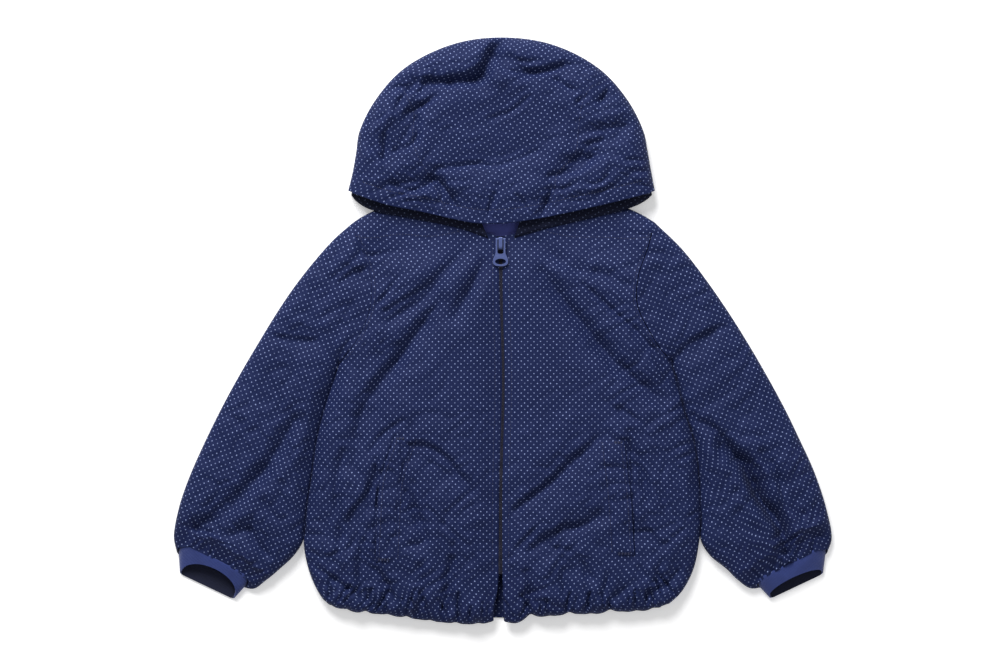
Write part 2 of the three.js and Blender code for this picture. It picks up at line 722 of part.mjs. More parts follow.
// The back lies flat: its outline runs just inside the turned-under edges of what is sewn to it
function backOutline(grids, yokes) {
  const half = (side) => {
    const sign = side === 'left' ? 1 : -1;
    const grid = grids[side];
    const plan = sleevePlan(side);
    const points = [];
    const rolled = grid.rows.filter((row) => row.rolled);
    rolled.forEach((row, j) => {
      const [x, y] = grid.face(0)(0, j);
      points.push([x + row.inward[0] * SEAM, y + row.inward[1] * SEAM]);
    });
    const length = Math.hypot(
      plan(0, 1)[0] - plan(0, 0)[0], plan(0, 1)[1] - plan(0, 0)[1]);
    const ends = TURN_UNDER / length;
    for (const share of [1 - ends, ...RING_UNDER, ends]) {
      const [x, y] = plan(0, share);
      points.push([x + sign * SEAM * 1.4, y]);
    }
    for (let i = 0; i <= YOKE_COLUMNS; i += 1) {
      const [x, y] = yokes[side].face(0)(i, yokes[side].lastRow);
      const inward = inwardOf(curves[side].shoulder, 1 - i / YOKE_COLUMNS, sign);
      points.push([x + inward[0] * SEAM, y + inward[1] * SEAM]);
    }
    return points;
  };
  const neck = sampled(hoodNeckCurve, 36)
    .filter(([x]) => Math.abs(x) < 66)
    .map(([x, y]) => [x, y - SEAM]);
  const hemOf = (side) => sampled(curves[side].hem, 16)
    .filter(([x]) => Math.abs(x) < 158)
    .map(([x, y]) => [x, y + BACK_HEM_SET_IN]);
  return [...half('left'), ...neck, ...half('right').reverse(), ...hemOf('right'), ...hemOf('left').reverse()];
}

// Hem casing: turned in under the front, and laid on the back
function frontCasing(side) {
  const hem = curves[side].hem;
  const turns = [4, 35, 65, 90];
  const columns = 10;
  const face = (inset) => (i, j) => {
    const [x, y] = hem(mix(0.05, 0.995, i / columns));
    const angle = THREE.MathUtils.degToRad(turns[Math.min(j, turns.length - 1)]);
    const travel = inset + (CASING_ROLL - inset) * (1 - Math.cos(angle));
    const along = j >= turns.length ? CASING_DEPTH : travel;
    const z = HEM_EDGE - SEAM - (CASING_ROLL - inset) * Math.sin(angle);
    return [x, y + along, z];
  };
  return wallGeometry({ columns, rows: turns.length, outer: face(0), inner: face(CLOTH) });
}

function backCasingOutline() {
  const edge = ['right', 'left'].flatMap((side) => {
    const points = sampled(curves[side].hem, 16).filter(([x]) => Math.abs(x) < 150);
    return side === 'left' ? points.reverse() : points;
  });
  const lower = edge.map(([x, y]) => [x, y + BACK_HEM_SET_IN + 1]);
  const upper = edge.map(([x, y]) => [x, y + CASING_DEPTH]).reverse();
  return [...lower, ...upper];
}

// Hood panels: from the brim up over the crown, round the rim and back under to the neck

function hoodShare(s, key) {
  for (let k = 1; k < HOOD_SEAMS.length; k += 1) {
    const [from, to] = [HOOD_SEAMS[k - 1], HOOD_SEAMS[k]];
    if (s <= to.brim || k === HOOD_SEAMS.length - 1) {
      return mix(from[key], to[key], (s - from.brim) / (to.brim - from.brim));
    }
  }
  return 1;
}

function hoodPanel(from, to) {
  const lines = Array.from({ length: HOOD_LINES + 1 }, (_, k) => mix(from, to, k / HOOD_LINES));
  const turns = [28, 58, 90];
  const underRows = [0.35, 0.7, 1];
  const topCount = HOOD_ROWS.length;
  const face = (inset) => (i, j) => {
    const s = lines[i];
    const brim = brimCurve(s);
    const rim = rimCurve(hoodShare(s, 'rim'));
    const neck = hoodNeckCurve(hoodShare(s, 'neck'));
    const span = Math.hypot(neck[0] - rim[0], neck[1] - rim[1]);
    const inward = [(neck[0] - rim[0]) / span, (neck[1] - rim[1]) / span];
    const reach = Math.min(HOOD_TURN_UNDER, span * 0.45);
    if (j < topCount) {
      const t = HOOD_ROWS[j];
      const length = Math.hypot(rim[0] - brim[0], rim[1] - brim[1]);
      const [x, y] = mixPoint(brim, rim, t * (1 - inset / length));
      return [x, y, t === 1 ? HOOD_EDGE : hoodTop(x, y, inset)];
    }
    if (j < topCount + turns.length) {
      return turnUnder(rim, inward, HOOD_EDGE, reach, turns[j - topCount], inset);
    }
    const start = [rim[0] + inward[0] * reach, rim[1] + inward[1] * reach];
    return [...mixPoint(start, neck, underRows[j - topCount - turns.length]), inset];
  };
  return wallGeometry({
    columns: HOOD_LINES,
    rows: topCount + turns.length + underRows.length - 1,
    outer: face(0),
    inner: face(CLOTH),
  });
}

// Lower front stretch of a hood side panel: it lies over the neck, under the brim
function hoodLip(side) {
  const { lipFold, lipInner } = curves[side];
  const face = (inset) => (i, j) => {
    const s = i / LIP_COLUMNS;
    const [x, y] = mixPoint(lipFold(s), lipInner(s), LIP_ROWS[j]);
    const width = Math.hypot(lipInner(s)[0] - lipFold(s)[0], lipInner(s)[1] - lipFold(s)[1]);
    const base = mix(LIP_BASE, LIP_END, smoothstep(0.78, 1, s));
    return [x, y, base + LIP_PUFF * rise(LIP_ROWS[j] * width, 9) - inset];
  };
  return wallGeometry({
    columns: LIP_COLUMNS, rows: LIP_ROWS.length - 1, outer: face(0), inner: face(CLOTH),
  });
}

// Height of a finished piece's top at a point of the plan
function topOf(geometry, x, y) {
  const position = geometry.getAttribute('position');
  const index = geometry.getIndex();
  let highest = -Infinity;
  for (let k = 0; k < index.count; k += 3) {
    const [a, b, c] = [0, 1, 2].map((n) => index.getX(k + n));
    const [ax, ay, bx, by] = [position.getX(a), position.getY(a), position.getX(b), position.getY(b)];
    const [cx, cy] = [position.getX(c), position.getY(c)];
    const area = (bx - ax) * (cy - ay) - (cx - ax) * (by - ay);
    if (Math.abs(area) < 1e-6) continue;
    const u = ((bx - x) * (cy - y) - (cx - x) * (by - y)) / area;
    const v = ((cx - x) * (ay - y) - (ax - x) * (cy - y)) / area;
    const w = 1 - u - v;
    if (u < 0 || v < 0 || w < 0) continue;
    highest = Math.max(highest, u * position.getZ(a) + v * position.getZ(b) + w * position.getZ(c));
  }
  return highest;
}

function pocketWelt(side, front) {
  const opening = curves[side].welt;
  const towardsZip = side === 'left' ? 1 : -1;
  const [columns, rows] = [3, 16];
  const tops = new Map();
  const face = (inset) => (i, j) => {
    const [x, y] = opening(j / rows);
    const across = x + (towardsZip * WELT_WIDTH * i) / columns;
    const key = i * 100 + j;
    if (!tops.has(key)) tops.set(key, topOf(front, across, y));
    return [across, y, tops.get(key) + WELT_CLEAR + CLOTH - inset];
  };
  return wallGeometry({ columns, rows, outer: face(0), inner: face(CLOTH) });
}

// Zip: a tape along each front edge, the box at its foot, the slider and its pull tab

function zipTape(side, grid) {
  const lines = FRONT_COLUMNS.length;
  const first = grid.rows.findIndex((row, j) => grid.place(1, j)[1] > ZIP_BOTTOM);
  const seamEdge = side === 'left' ? ZIP_X - SEAM / 2 : ZIP_X + SEAM / 2;
  const inner = grid.face(CLOTH);
  const face = (down) => (i, j) => {
    const row = first + j;
    const column = Math.min(lines - 1, lines - 2 + i) + grid.turns;
    const [x, y, z] = inner(column, row);
    return [i === 2 ? seamEdge : x, y, z - SEAM - down];
  };
  return wallGeometry({
    columns: 2, rows: grid.last - first, outer: face(0), inner: face(ZIP_TAPE),
  });
}

const SLIDER = {
  top: 95, bottom: 82, halfTop: 4.4, halfBottom: 3.2, base: 12.9, thick: 2.2, stem: 1.7, stemDepth: 2.2,
};
const CROWN = { half: 1.9, front: 94.8, back: 82.4, height: 4.2, bar: 1.1, foot: 1.6 };
const TAB = {
  axisY: 92.9, pin: 0.85, thick: 1.6, tip: 65.8, halfTop: 4.85, halfTip: 7.65,
  slotHalf: 3.1, slotEnd: 78, holeHalfX: 5.5, holeHalfY: 2.9, holeY: 70.4,
};

function toSolid(geometry) {
  const bare = geometry.clone();
  bare.deleteAttribute('normal');
  bare.deleteAttribute('uv');
  const merged = BufferGeometryUtils.mergeVertices(bare, 1e-4);
  return new wasm.Manifold(new wasm.Mesh({
    numProp: 3,
    vertProperties: new Float32Array(merged.getAttribute('position').array),
    triVerts: new Uint32Array(merged.getIndex().array),
  }));
}

function fromSolid(solid) {
  const mesh = solid.getMesh();
  const geometry = new THREE.BufferGeometry();
  geometry.setAttribute('position', new THREE.Float32BufferAttribute(mesh.vertProperties, 3));
  geometry.setIndex(new THREE.Uint32BufferAttribute(mesh.triVerts, 1));
  return geometry;
}

function extruded(shape, depth, curveSegments = 6) {
  return new THREE.ExtrudeGeometry(shape, { depth, bevelEnabled: false, curveSegments });
}

function slider() {
  const { top, bottom, halfTop, halfBottom, base, thick, stem, stemDepth } = SLIDER;
  const body = new THREE.Shape();
  body.moveTo(-halfBottom, bottom);
  body.lineTo(halfBottom, bottom);
  body.lineTo(halfTop, top - 4);
  body.quadraticCurveTo(halfTop, top, halfTop - 2.4, top);
  body.lineTo(-halfTop + 2.4, top);
  body.quadraticCurveTo(-halfTop, top, -halfTop, top - 4);
  body.closePath();
  const plate = extruded(body, thick).translate(ZIP_X, 0, base);
  const post = new THREE.BoxGeometry(stem * 2, top - bottom - 3, stemDepth + 0.5)
    .translate(ZIP_X, (top + bottom) / 2, base - stemDepth / 2 + 0.25);
  const floor = base + thick - 0.3;
  const roof = base + thick + CROWN.height;
  const arch = new THREE.Shape();
  arch.moveTo(CROWN.back, floor);
  arch.lineTo(CROWN.front, floor);
  arch.lineTo(CROWN.front, roof - 1.2);
  arch.quadraticCurveTo(CROWN.front, roof, CROWN.front - 1.5, roof);
  arch.lineTo(CROWN.back + 4, roof);
  arch.quadraticCurveTo(CROWN.back, roof, CROWN.back, floor + 1);
  arch.closePath();
  const eye = new THREE.Path();
  const eyeTop = roof - CROWN.bar;
  eye.moveTo(CROWN.back + CROWN.foot + 1.4, base + thick);
  eye.lineTo(CROWN.back + CROWN.foot + 2.2, eyeTop);
  eye.lineTo(CROWN.front - CROWN.bar + 0.5, eyeTop);
  eye.lineTo(CROWN.front - CROWN.bar + 0.5, base + thick);
  eye.closePath();
  arch.holes.push(eye);
  const crown = extruded(arch, CROWN.half * 2)
    .applyMatrix4(new THREE.Matrix4().makeBasis(
      new THREE.Vector3(0, 1, 0), new THREE.Vector3(0, 0, 1), new THREE.Vector3(1, 0, 0)))
    .translate(ZIP_X - CROWN.half, 0, 0);
  return fromSolid(toSolid(plate).add(toSolid(post)).add(toSolid(crown)));
}

function pullTab() {
  const shape = new THREE.Shape();
  const start = TAB.axisY;
  shape.moveTo(-TAB.halfTop, start);
  shape.lineTo(-TAB.halfTop, start - 12);
  shape.bezierCurveTo(
    -TAB.halfTop, start - 17, -TAB.halfTip, start - 18, -TAB.halfTip, TAB.holeY);
  shape.bezierCurveTo(-TAB.halfTip, TAB.tip, -3, TAB.tip, 0, TAB.tip);
  shape.bezierCurveTo(3, TAB.tip, TAB.halfTip, TAB.tip, TAB.halfTip, TAB.holeY);
  shape.bezierCurveTo(TAB.halfTip, start - 18, TAB.halfTop, start - 17, TAB.halfTop, start - 12);
  shape.lineTo(TAB.halfTop, start);
  shape.lineTo(TAB.slotHalf, start);
  shape.lineTo(TAB.slotHalf, TAB.slotEnd + 2);
  shape.quadraticCurveTo(TAB.slotHalf, TAB.slotEnd, 0, TAB.slotEnd);
  shape.quadraticCurveTo(-TAB.slotHalf, TAB.slotEnd, -TAB.slotHalf, TAB.slotEnd + 2);
  shape.lineTo(-TAB.slotHalf, start);
  shape.closePath();
  const hole = new THREE.Path();
  hole.absellipse(0, TAB.holeY, TAB.holeHalfX, TAB.holeHalfY, 0, Math.PI * 2, true);
  shape.holes.push(hole);
  const axisZ = tabAxisZ();
  const plate = extruded(shape, TAB.thick, 8).translate(ZIP_X, 0, axisZ - TAB.thick / 2);
  const pin = new THREE.CylinderGeometry(TAB.pin, TAB.pin, TAB.halfTop * 2, 12)
    .rotateZ(Math.PI / 2)
    .translate(ZIP_X, TAB.axisY, axisZ);
  return fromSolid(toSolid(plate).add(toSolid(pin)));
}

function tabAxisZ() {
  return SLIDER.base + SLIDER.thick + (CROWN.height - CROWN.bar) / 2;
}

function neckTapeOutline() {
  const edge = sampled(hoodNeckCurve, 60).filter(([x]) => Math.abs(x) < 48);
  const upper = edge.map(([x, y]) => [x, y - SEAM * 2]);
  const lower = edge.map(([x, y]) => [x * 0.97, y - TAPE_WIDTH]).reverse();
  return [...upper, ...lower];
}

// Put together

const grids = { left: frontGrid('left'), right: frontGrid('right') };
const yokes = { left: yoke('left'), right: yoke('right') };

addMesh('back', flatPiece(backOutline(grids, yokes), 0, CLOTH), 'shell');
addMesh('hem_casing_back', flatPiece(backCasingOutline(), CLOTH + SEAM, CLOTH), 'shell');
addMesh('neck_tape', flatPiece(neckTapeOutline(), CLOTH + SEAM, CLOTH), 'trim');

for (const side of ['left', 'right']) {
  const front = frontPanel(grids[side]);
  addMesh(`front_${side}`, front, 'shell');
  addMesh(`yoke_${side}`, yokes[side].geometry, 'shell');
  addMesh(`sleeve_${side}`, sleeve(side), 'shell');
  addMesh(`cuff_${side}`, cuff(side), 'trim');
  addMesh(`hem_casing_${side}`, frontCasing(side), 'shell');
  addMesh(`hood_lip_${side}`, hoodLip(side), 'shell');
  addMesh(`pocket_welt_${side}`, pocketWelt(side, front), 'shell');
  addMesh(`zip_tape_${side}`, zipTape(side, grids[side]), 'zip');
}

const [, leftSeam, rightSeam] = HOOD_SEAMS;
addMesh('hood_left', hoodPanel(0, leftSeam.brim - HOOD_SEAM_SHARE), 'shell');
addMesh('hood_centre', hoodPanel(leftSeam.brim + HOOD_SEAM_SHARE, rightSeam.brim - HOOD_SEAM_SHARE), 'shell');
addMesh('hood_right', hoodPanel(rightSeam.brim + HOOD_SEAM_SHARE, 1), 'shell');

addMesh('zip_slider', slider(), 'hardware');
addMesh('zip_pull_tab', pullTab(), 'hardware');

export default group;
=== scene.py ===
"""Child's hooded rain jacket of dotted shell cloth, laid flat on its back with the zip closed.

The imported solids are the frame. Every cloth piece here is a finer sheet on the same form, with the
folds, seams and sewing that the solids leave out. Plan sizes are in millimetres until a mesh is
written: +X to the wearer's left sleeve, +Y from hem to hood, +Z up.
"""

from __future__ import annotations

import logging
import math
from collections.abc import Callable, Sequence
from dataclasses import dataclass, field
from enum import Enum

import bmesh
import bpy
import numpy as np
from mathutils import Matrix, Vector

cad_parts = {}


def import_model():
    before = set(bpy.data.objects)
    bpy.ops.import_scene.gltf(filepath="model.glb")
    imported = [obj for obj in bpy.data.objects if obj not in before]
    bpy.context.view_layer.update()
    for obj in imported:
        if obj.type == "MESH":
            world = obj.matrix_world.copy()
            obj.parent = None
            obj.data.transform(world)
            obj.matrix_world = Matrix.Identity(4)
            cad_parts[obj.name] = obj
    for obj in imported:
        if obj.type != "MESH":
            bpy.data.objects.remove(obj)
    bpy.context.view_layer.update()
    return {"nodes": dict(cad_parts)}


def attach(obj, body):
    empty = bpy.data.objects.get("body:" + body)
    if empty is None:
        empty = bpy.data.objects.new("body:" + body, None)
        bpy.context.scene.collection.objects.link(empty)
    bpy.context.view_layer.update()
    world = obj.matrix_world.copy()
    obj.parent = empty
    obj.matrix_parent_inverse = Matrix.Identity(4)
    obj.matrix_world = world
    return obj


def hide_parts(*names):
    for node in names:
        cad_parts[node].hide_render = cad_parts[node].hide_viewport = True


LOG = logging.getLogger("jacket")

Array = np.ndarray
Point = tuple[float, float]
Placed = tuple[Array, Array, Array]
Height = Callable[[Array, Array], Array]
Colour = tuple[float, float, float, float]
BMesh = bmesh.types.BMesh
Material = bpy.types.Material
Object = bpy.types.Object
Socket = bpy.types.NodeSocket

MM = 0.001

# The photograph at one millimetre a pixel: the pixel over the frame's origin
PHOTO_SIZE = (1008, 672)
ORIGIN_PIXEL = (502.5, 332.0)


# The body of the frame that carries every new piece
JACKET = "jacket"

# The name of the print map of a piece
CLOTH_UV = "cloth"

# Angle between two faces, in radians, from which their edge is shown sharp
SHARP_ANGLE = 0.9

# A piece whose faces differ less in height, in metres, counts as level
LEVEL = 0.004

# How many beads are made in one batch
BATCH = 40


class Slot(Enum):
    """Names of material slots, which no piece here takes."""

    SHELL = "shell"
    TRIM = "trim"
    ZIP = "zip"


def from_photo(pixels: Sequence[Point]) -> list[Point]:
    """Turns places in the photograph into places on the plan.

    Args:
        pixels: Pixel columns and rows.

    Returns:
        The same places in millimetres.
    """
    return [(px - ORIGIN_PIXEL[0], ORIGIN_PIXEL[1] - py) for px, py in pixels]


def smoothstep(start: float, end: float, value: Array | float) -> Array | float:
    """Eases from 0 at start to 1 at end."""
    t = np.clip((value - start) / (end - start), 0, 1)
    return t * t * (3 - 2 * t)


def mix(a: Array | float, b: Array | float, t: Array | float) -> Array | float:
    """Goes from a at 0 to b at 1."""
    return a + (b - a) * t


def bell(distance: Array, width: float) -> Array:
    """1 in the middle, falling off smoothly over width on both sides."""
    return np.exp(-((distance / width) ** 2))


def rise(distance: Array, run: float, roundness: float = 2.4) -> Array:
    """Cloth rising from a rolled edge.

    Args:
        distance: How far in from the edge.
        run: Where the cloth levels out.
        roundness: Power of the superellipse.

    Returns:
        0 at the edge, 1 where it levels out.
    """
    return (1 - (1 - np.clip(distance / run, 0, 1)) ** roundness) ** (1 / roundness)


def even(count: int) -> Array:
    """Shares from 0 to 1, evenly apart."""
    return np.linspace(0, 1, count + 1)


def eased(count: int, pull: float = 0.5) -> Array:
    """Shares from 0 to 1 that stand closer together towards both ends."""
    plain = even(count)
    return plain + pull * ((1 - np.cos(math.pi * plain)) / 2 - plain)


class Line:
    """A smooth curve through points seen from above, read by its share of the whole length."""

    def __init__(self, points: Sequence[Point], per_span: int = 24) -> None:
        """Runs a centripetal curve through the points.

        Args:
            points: Plan points, in order.
            per_span: Samples between two points.
        """
        knots = np.array(points, float)
        ends = [2 * knots[0] - knots[1], 2 * knots[-1] - knots[-2]]
        knots = np.vstack([ends[0], knots, ends[1]])
        gaps = np.linalg.norm(np.diff(knots, axis=0), axis=1) ** 0.5
        t = np.linspace(0, 1, per_span, endpoint=False)[:, None]
        spans = []
        for k in range(1, len(knots) - 2):
            before, a, b, after = knots[k - 1 : k + 3]
            g0, g1, g2 = gaps[k - 1 : k + 2]
            leave = ((a - before) / g0 - (b - before) / (g0 + g1) + (b - a) / g1) * g1
            arrive = ((b - a) / g1 - (after - a) / (g1 + g2) + (after - b) / g2) * g1
            square = -3 * a + 3 * b - 2 * leave - arrive
            cube = 2 * a - 2 * b + leave + arrive
            spans.append(a + leave * t + square * t**2 + cube * t**3)
        self.dense = np.vstack([*spans, knots[-2][None]])
        steps = np.linalg.norm(np.diff(self.dense, axis=0), axis=1)
        self.length = float(steps.sum())
        self.share = np.concatenate([[0], np.cumsum(steps)]) / self.length

    def at(self, share: Array | float) -> Array:
        """Plan points at these shares of the length."""
        share = np.clip(share, 0, 1)
        return np.stack([np.interp(share, self.share, self.dense[:, k]) for k in (0, 1)], axis=-1)

    def inward(self, share: Array | float, sign: float) -> Array:
        """Unit vectors square to the curve, on the side that sign picks."""
        run = self.at(np.asarray(share) + 0.01) - self.at(np.asarray(share) - 0.01)
        run = run / np.linalg.norm(run, axis=-1, keepdims=True)
        return np.stack([-run[..., 1], run[..., 0]], axis=-1) * sign

    def sampled(self, steps: int) -> Array:
        """The curve as a chain of straight steps."""
        return self.at(even(steps))


def along_chain(x: Array, y: Array, chain: Array) -> tuple[Array, Array]:
    """Measures places against a chain of straight steps.

    Args:
        x: Plan x of the places.
        y: Plan y of the places.
        chain: Points of the chain.

    Returns:
        The distance to the chain, and the share of its length at the nearest point.
    """
    steps = np.linalg.norm(np.diff(chain, axis=0), axis=1)
    starts = np.concatenate([[0], np.cumsum(steps)])
    nearest = np.full(x.shape, np.inf)
    share = np.zeros(x.shape)
    for a, b, start, step in zip(chain[:-1], chain[1:], starts, steps):
        run = (b - a) / step
        ahead = np.clip((x - a[0]) * run[0] + (y - a[1]) * run[1], 0, step)
        gap = (x - a[0] - ahead * run[0]) ** 2 + (y - a[1] - ahead * run[1]) ** 2
        closer = gap < nearest
        nearest = np.where(closer, gap, nearest)
        share = np.where(closer, (start + ahead) / starts[-1], share)
    return np.sqrt(nearest), share


def distance_to(x: Array, y: Array, chains: Sequence[Array]) -> Array:
    """Distance from each place to the nearest of several chains."""
    return np.min([along_chain(x, y, chain)[0] for chain in chains], axis=0)


@dataclass(frozen=True)
class Fold:
    """A trough in the cloth with a low swell on each side.

    Attributes:
        points: The trough's line on the plan.
        width: Half its width.
        depth: How deep it is.
    """

    points: Sequence[Point]
    width: float
    depth: float

    def at(self, x: Array, y: Array) -> Array:
        """How far this fold takes the cloth down at each place."""
        distance, share = along_chain(x, y, np.array(self.points, float))
        across = distance / self.width
        fade = 0.55 + 0.45 * np.sin(math.pi * share)
        swell = 0.3 * np.exp(-((across - 1.9) ** 2))
        return self.depth * fade * (np.exp(-1.1 * across**1.35) - swell)


def folded(x: Array, y: Array, folds: Sequence[Fold]) -> Array:
    """How far several folds together take the cloth down."""
    total = np.zeros(np.shape(x))
    for fold in folds:
        reach = 3.5 * fold.width
        low = np.min(fold.points, axis=0) - reach
        high = np.max(fold.points, axis=0) + reach
        near = (x > low[0]) & (x < high[0]) & (y > low[1]) & (y < high[1])
        if near.any():
            total[near] += fold.at(x[near], y[near])
    return total


def blotches(x: Array, y: Array, size: Point, seed: int) -> Array:
    """Smooth seeded noise.

    Args:
        x: Plan x.
        y: Plan y.
        size: How wide and how tall one blotch is.
        seed: Start of the random draw.

    Returns:
        Values from -1 to 1.
    """
    cells = 64
    table = np.random.default_rng(seed).uniform(-1, 1, (cells, cells))
    u, v = x / size[0], y / size[1]
    i, j = np.floor(u).astype(int), np.floor(v).astype(int)
    su, sv = smoothstep(0, 1, u - i), smoothstep(0, 1, v - j)
    corner = [[table[(i + di) % cells, (j + dj) % cells] for dj in (0, 1)] for di in (0, 1)]
    return mix(mix(corner[0][0], corner[1][0], su), mix(corner[0][1], corner[1][1], su), sv)


@dataclass(frozen=True)
class Crumple:
    """Small pillows of cloth with creases between them, about 0 on average.

    Attributes:
        size: Length of a pillow.
        turn: Direction that the pillows lie in, in degrees.
        seed: Start of the random draw.
        depth: How far the pillows stand out.
    """

    size: float
    turn: float
    seed: int
    depth: float

    def at(self, x: Array, y: Array) -> Array:
        """How far the pillows lift the cloth at each place."""
        c, s = math.cos(math.radians(self.turn)), math.sin(math.radians(self.turn))
        u, v = x * c + y * s, y * c - x * s
        warp, wide = 0.45 * self.size, (self.size * 1.3, self.size * 1.3)
        u = u + warp * blotches(x, y, wide, self.seed + 1)
        v = v + warp * blotches(x, y, wide, self.seed + 2)
        return self.depth * (np.abs(blotches(u, v, (self.size, self.size * 0.5), self.seed)) - 0.35)


# Forms


@dataclass(frozen=True)
class HalfOutline:
    """Seam lines of one half of the jacket on the plan, each a row of points of a smooth curve.

    Left and right are as seen from above. The sign is 1 where +X leads from the side to the zip.
    """

    sign: int
    side: Sequence[Point]
    armhole: Sequence[Point]
    shoulder: Sequence[Point]
    sleeve_outer: Sequence[Point]
    sleeve_inner: Sequence[Point]
    hem: Sequence[Point]
    yoke_seam: Sequence[Point]
    neckline: Sequence[Point]
    yoke_neck: Sequence[Point]
    cuff_mouth: Sequence[Point]
    lip_fold: Sequence[Point]
    lip_inner: Sequence[Point]
    welt: Sequence[Point]
    hem_notches: Sequence[Point]
    wrist_tilt: float
    mouth_slant: float
    name: str


LEFT_HALF = HalfOutline(
    name="left",
    sign=1,
    side=[
        (-167, -276), (-179, -268), (-188, -254), (-195, -236), (-199.3, -212), (-197.3, -183),
        (-191.8, -143), (-186.8, -108), (-177, -70), (-168.3, -45), (-163.8, -31),
    ],
    armhole=[(-163.8, -31), (-155, -22), (-142, -2), (-131.5, 27), (-131.5, 55), (-142, 86), (-152, 108)],
    shoulder=[(-77, 138), (-128, 122), (-146.5, 112), (-152, 108)],
    sleeve_outer=[
        (-152, 108), (-170, 92), (-196, 62), (-218, 32), (-246, -13), (-272, -58), (-295, -103),
        (-315, -148), (-325, -178), (-330, -205), (-327, -220),
    ],
    sleeve_inner=[
        (-164.4, -31), (-167.9, -45), (-176.5, -70), (-186.3, -108), (-191.3, -143), (-196.8, -183),
        (-199.4, -208), (-209, -224), (-225, -239), (-238, -250), (-249, -257.5), (-257, -255.5),
    ],
    hem=[
        (-167, -276), (-152, -279), (-122, -282), (-92, -286), (-62, -290), (-32, -292),
        (-20, -291.5), (-8.9, -289),
    ],
    yoke_seam=[(-147.6, 98.5), (-132, 97), (-103, 101), (-70, 99), (-42, 104)],
    neckline=[(-42, 104), (-20, 100), (-4.4, 96)],
    yoke_neck=[(-42, 104), (-62, 118), (-77, 138)],
    cuff_mouth=[(-323.5, -240), (-268.5, -266)],
    lip_fold=[(-15, 95), (-44, 105), (-98, 116), (-124, 121), (-137, 125.5), (-147, 132.5), (-151.5, 138)],
    lip_inner=[(-21, 110), (-48, 123), (-98, 137), (-128, 143), (-150.5, 142.5)],
    welt=[(-107, -104), (-122, -150), (-124, -175), (-126.5, -229)],
    hem_notches=[(0.07, 2.0), (0.19, 2.6), (0.33, 1.2), (0.45, 2.0), (0.6, 1.2), (0.76, 1.6), (0.9, 1.4)],
    wrist_tilt=10,
    mouth_slant=0.8,
)
RIGHT_HALF = HalfOutline(
    name="right",
    sign=-1,
    side=[
        (167, -272), (178, -262), (187, -248), (193, -233), (197, -212), (199.5, -188),
        (198, -150), (193.5, -113), (183.5, -80), (174, -44), (169.3, -29),
    ],
    armhole=[(169.3, -29), (160, -20), (147, 0), (134.5, 28), (135.5, 55), (146, 86), (152.5, 110)],
    shoulder=[(77, 138), (122, 125.5), (140, 117.5), (152.5, 110)],
    sleeve_outer=[
        (152.5, 110), (177.5, 86), (192.5, 68), (222.5, 26), (252.5, -22), (282.5, -76),
        (297.5, -107), (312.5, -140), (325, -178), (330.5, -207), (326.5, -220),
    ],
    sleeve_inner=[
        (169.9, -29), (173.5, -44), (183, -80), (193, -113), (197.5, -150), (199, -188),
        (198.6, -208), (208, -224), (225, -238), (236, -249), (248, -257), (256.5, -256),
    ],
    hem=[
        (167, -272), (150, -277), (128, -279.5), (107, -279), (92, -282), (68, -281.5), (45, -284.5),
        (27, -284), (14, -291), (1.4, -289.5),
    ],
    yoke_seam=[(148.6, 98.5), (132, 96.5), (100, 98), (69, 98.5), (42, 104)],
    neckline=[(42, 104), (20, 100), (0.4, 96)],
    yoke_neck=[(42, 104), (62, 118), (77, 138)],
    cuff_mouth=[(321.5, -240), (267.5, -265.5)],
    lip_fold=[(12, 95), (42, 104), (97, 117), (121, 123), (134, 127.5), (144.5, 133.5), (150, 138.5)],
    lip_inner=[(17, 110), (48, 123), (98, 137), (128, 143), (149, 142.5)],
    welt=[(121, -108), (124.5, -138), (127.5, -163), (131.5, -223)],
    hem_notches=[(0.1, 1.6), (0.2, 1.2), (0.355, 2.2), (0.47, 1.3), (0.6, 2.4), (0.72, 1.2), (0.83, 2.6)],
    wrist_tilt=6.5,
    mouth_slant=0.25,
)

BODY_TROUGHS = [
    Fold([(-62, 32), (-108, -33)], 15, 5),
    Fold([(-108, -33), (-152, -133)], 14, 4.5),
    Fold([(40, 60), (98, -15)], 15, 5),
    Fold([(98, -15), (160, -73)], 14, 4.5),
    Fold([(-20, 67), (-47, 15)], 10, 2.5),
    Fold([(-40, 80), (-112, 10)], 9, 3),
    Fold([(35, 90), (103, 56)], 10, 2.5),
    Fold([(75, 52), (133, 2)], 9, 3),
    Fold([(133, 2), (174, -60)], 9, 3),
    Fold([(-100, 82), (-137, 76)], 8, 2.5),
    Fold([(-160, 50), (-130, 62)], 8, 2.5),
    Fold([(-130, -118), (-100, -89)], 9, 3),
    Fold([(-92, -113), (-33, -160)], 11, 3),
    Fold([(-95, -160), (-77, -208)], 10, 3.5),
    Fold([(-122, -140), (-151, -205)], 10, 3),
    Fold([(-141, -213), (-133, -273)], 9, 4),
    Fold([(-127, -238), (-110, -268)], 9, 4),
    Fold([(-50, -228), (-53, -278)], 12, 3.5),
    Fold([(-190, -233), (-143, -265)], 9, 2.5),
    Fold([(95, -108), (14, -178)], 12, 4),
    Fold([(98, -183), (30, -218)], 10, 3),
    Fold([(112, -75), (138, -90)], 9, 2.5),
    Fold([(130, -100), (145, -168)], 9, 3),
    Fold([(47, -215), (88, -245)], 10, 3),
    Fold([(132, -200), (155, -213)], 9, 2.5),
    Fold([(178, -238), (147, -263)], 9, 3.5),
    Fold([(60, -238), (63, -272)], 9, 3),
    Fold([(118, -258), (113, -274)], 8, 3),
    Fold([(27, -262), (28, -284)], 8, 3),
]

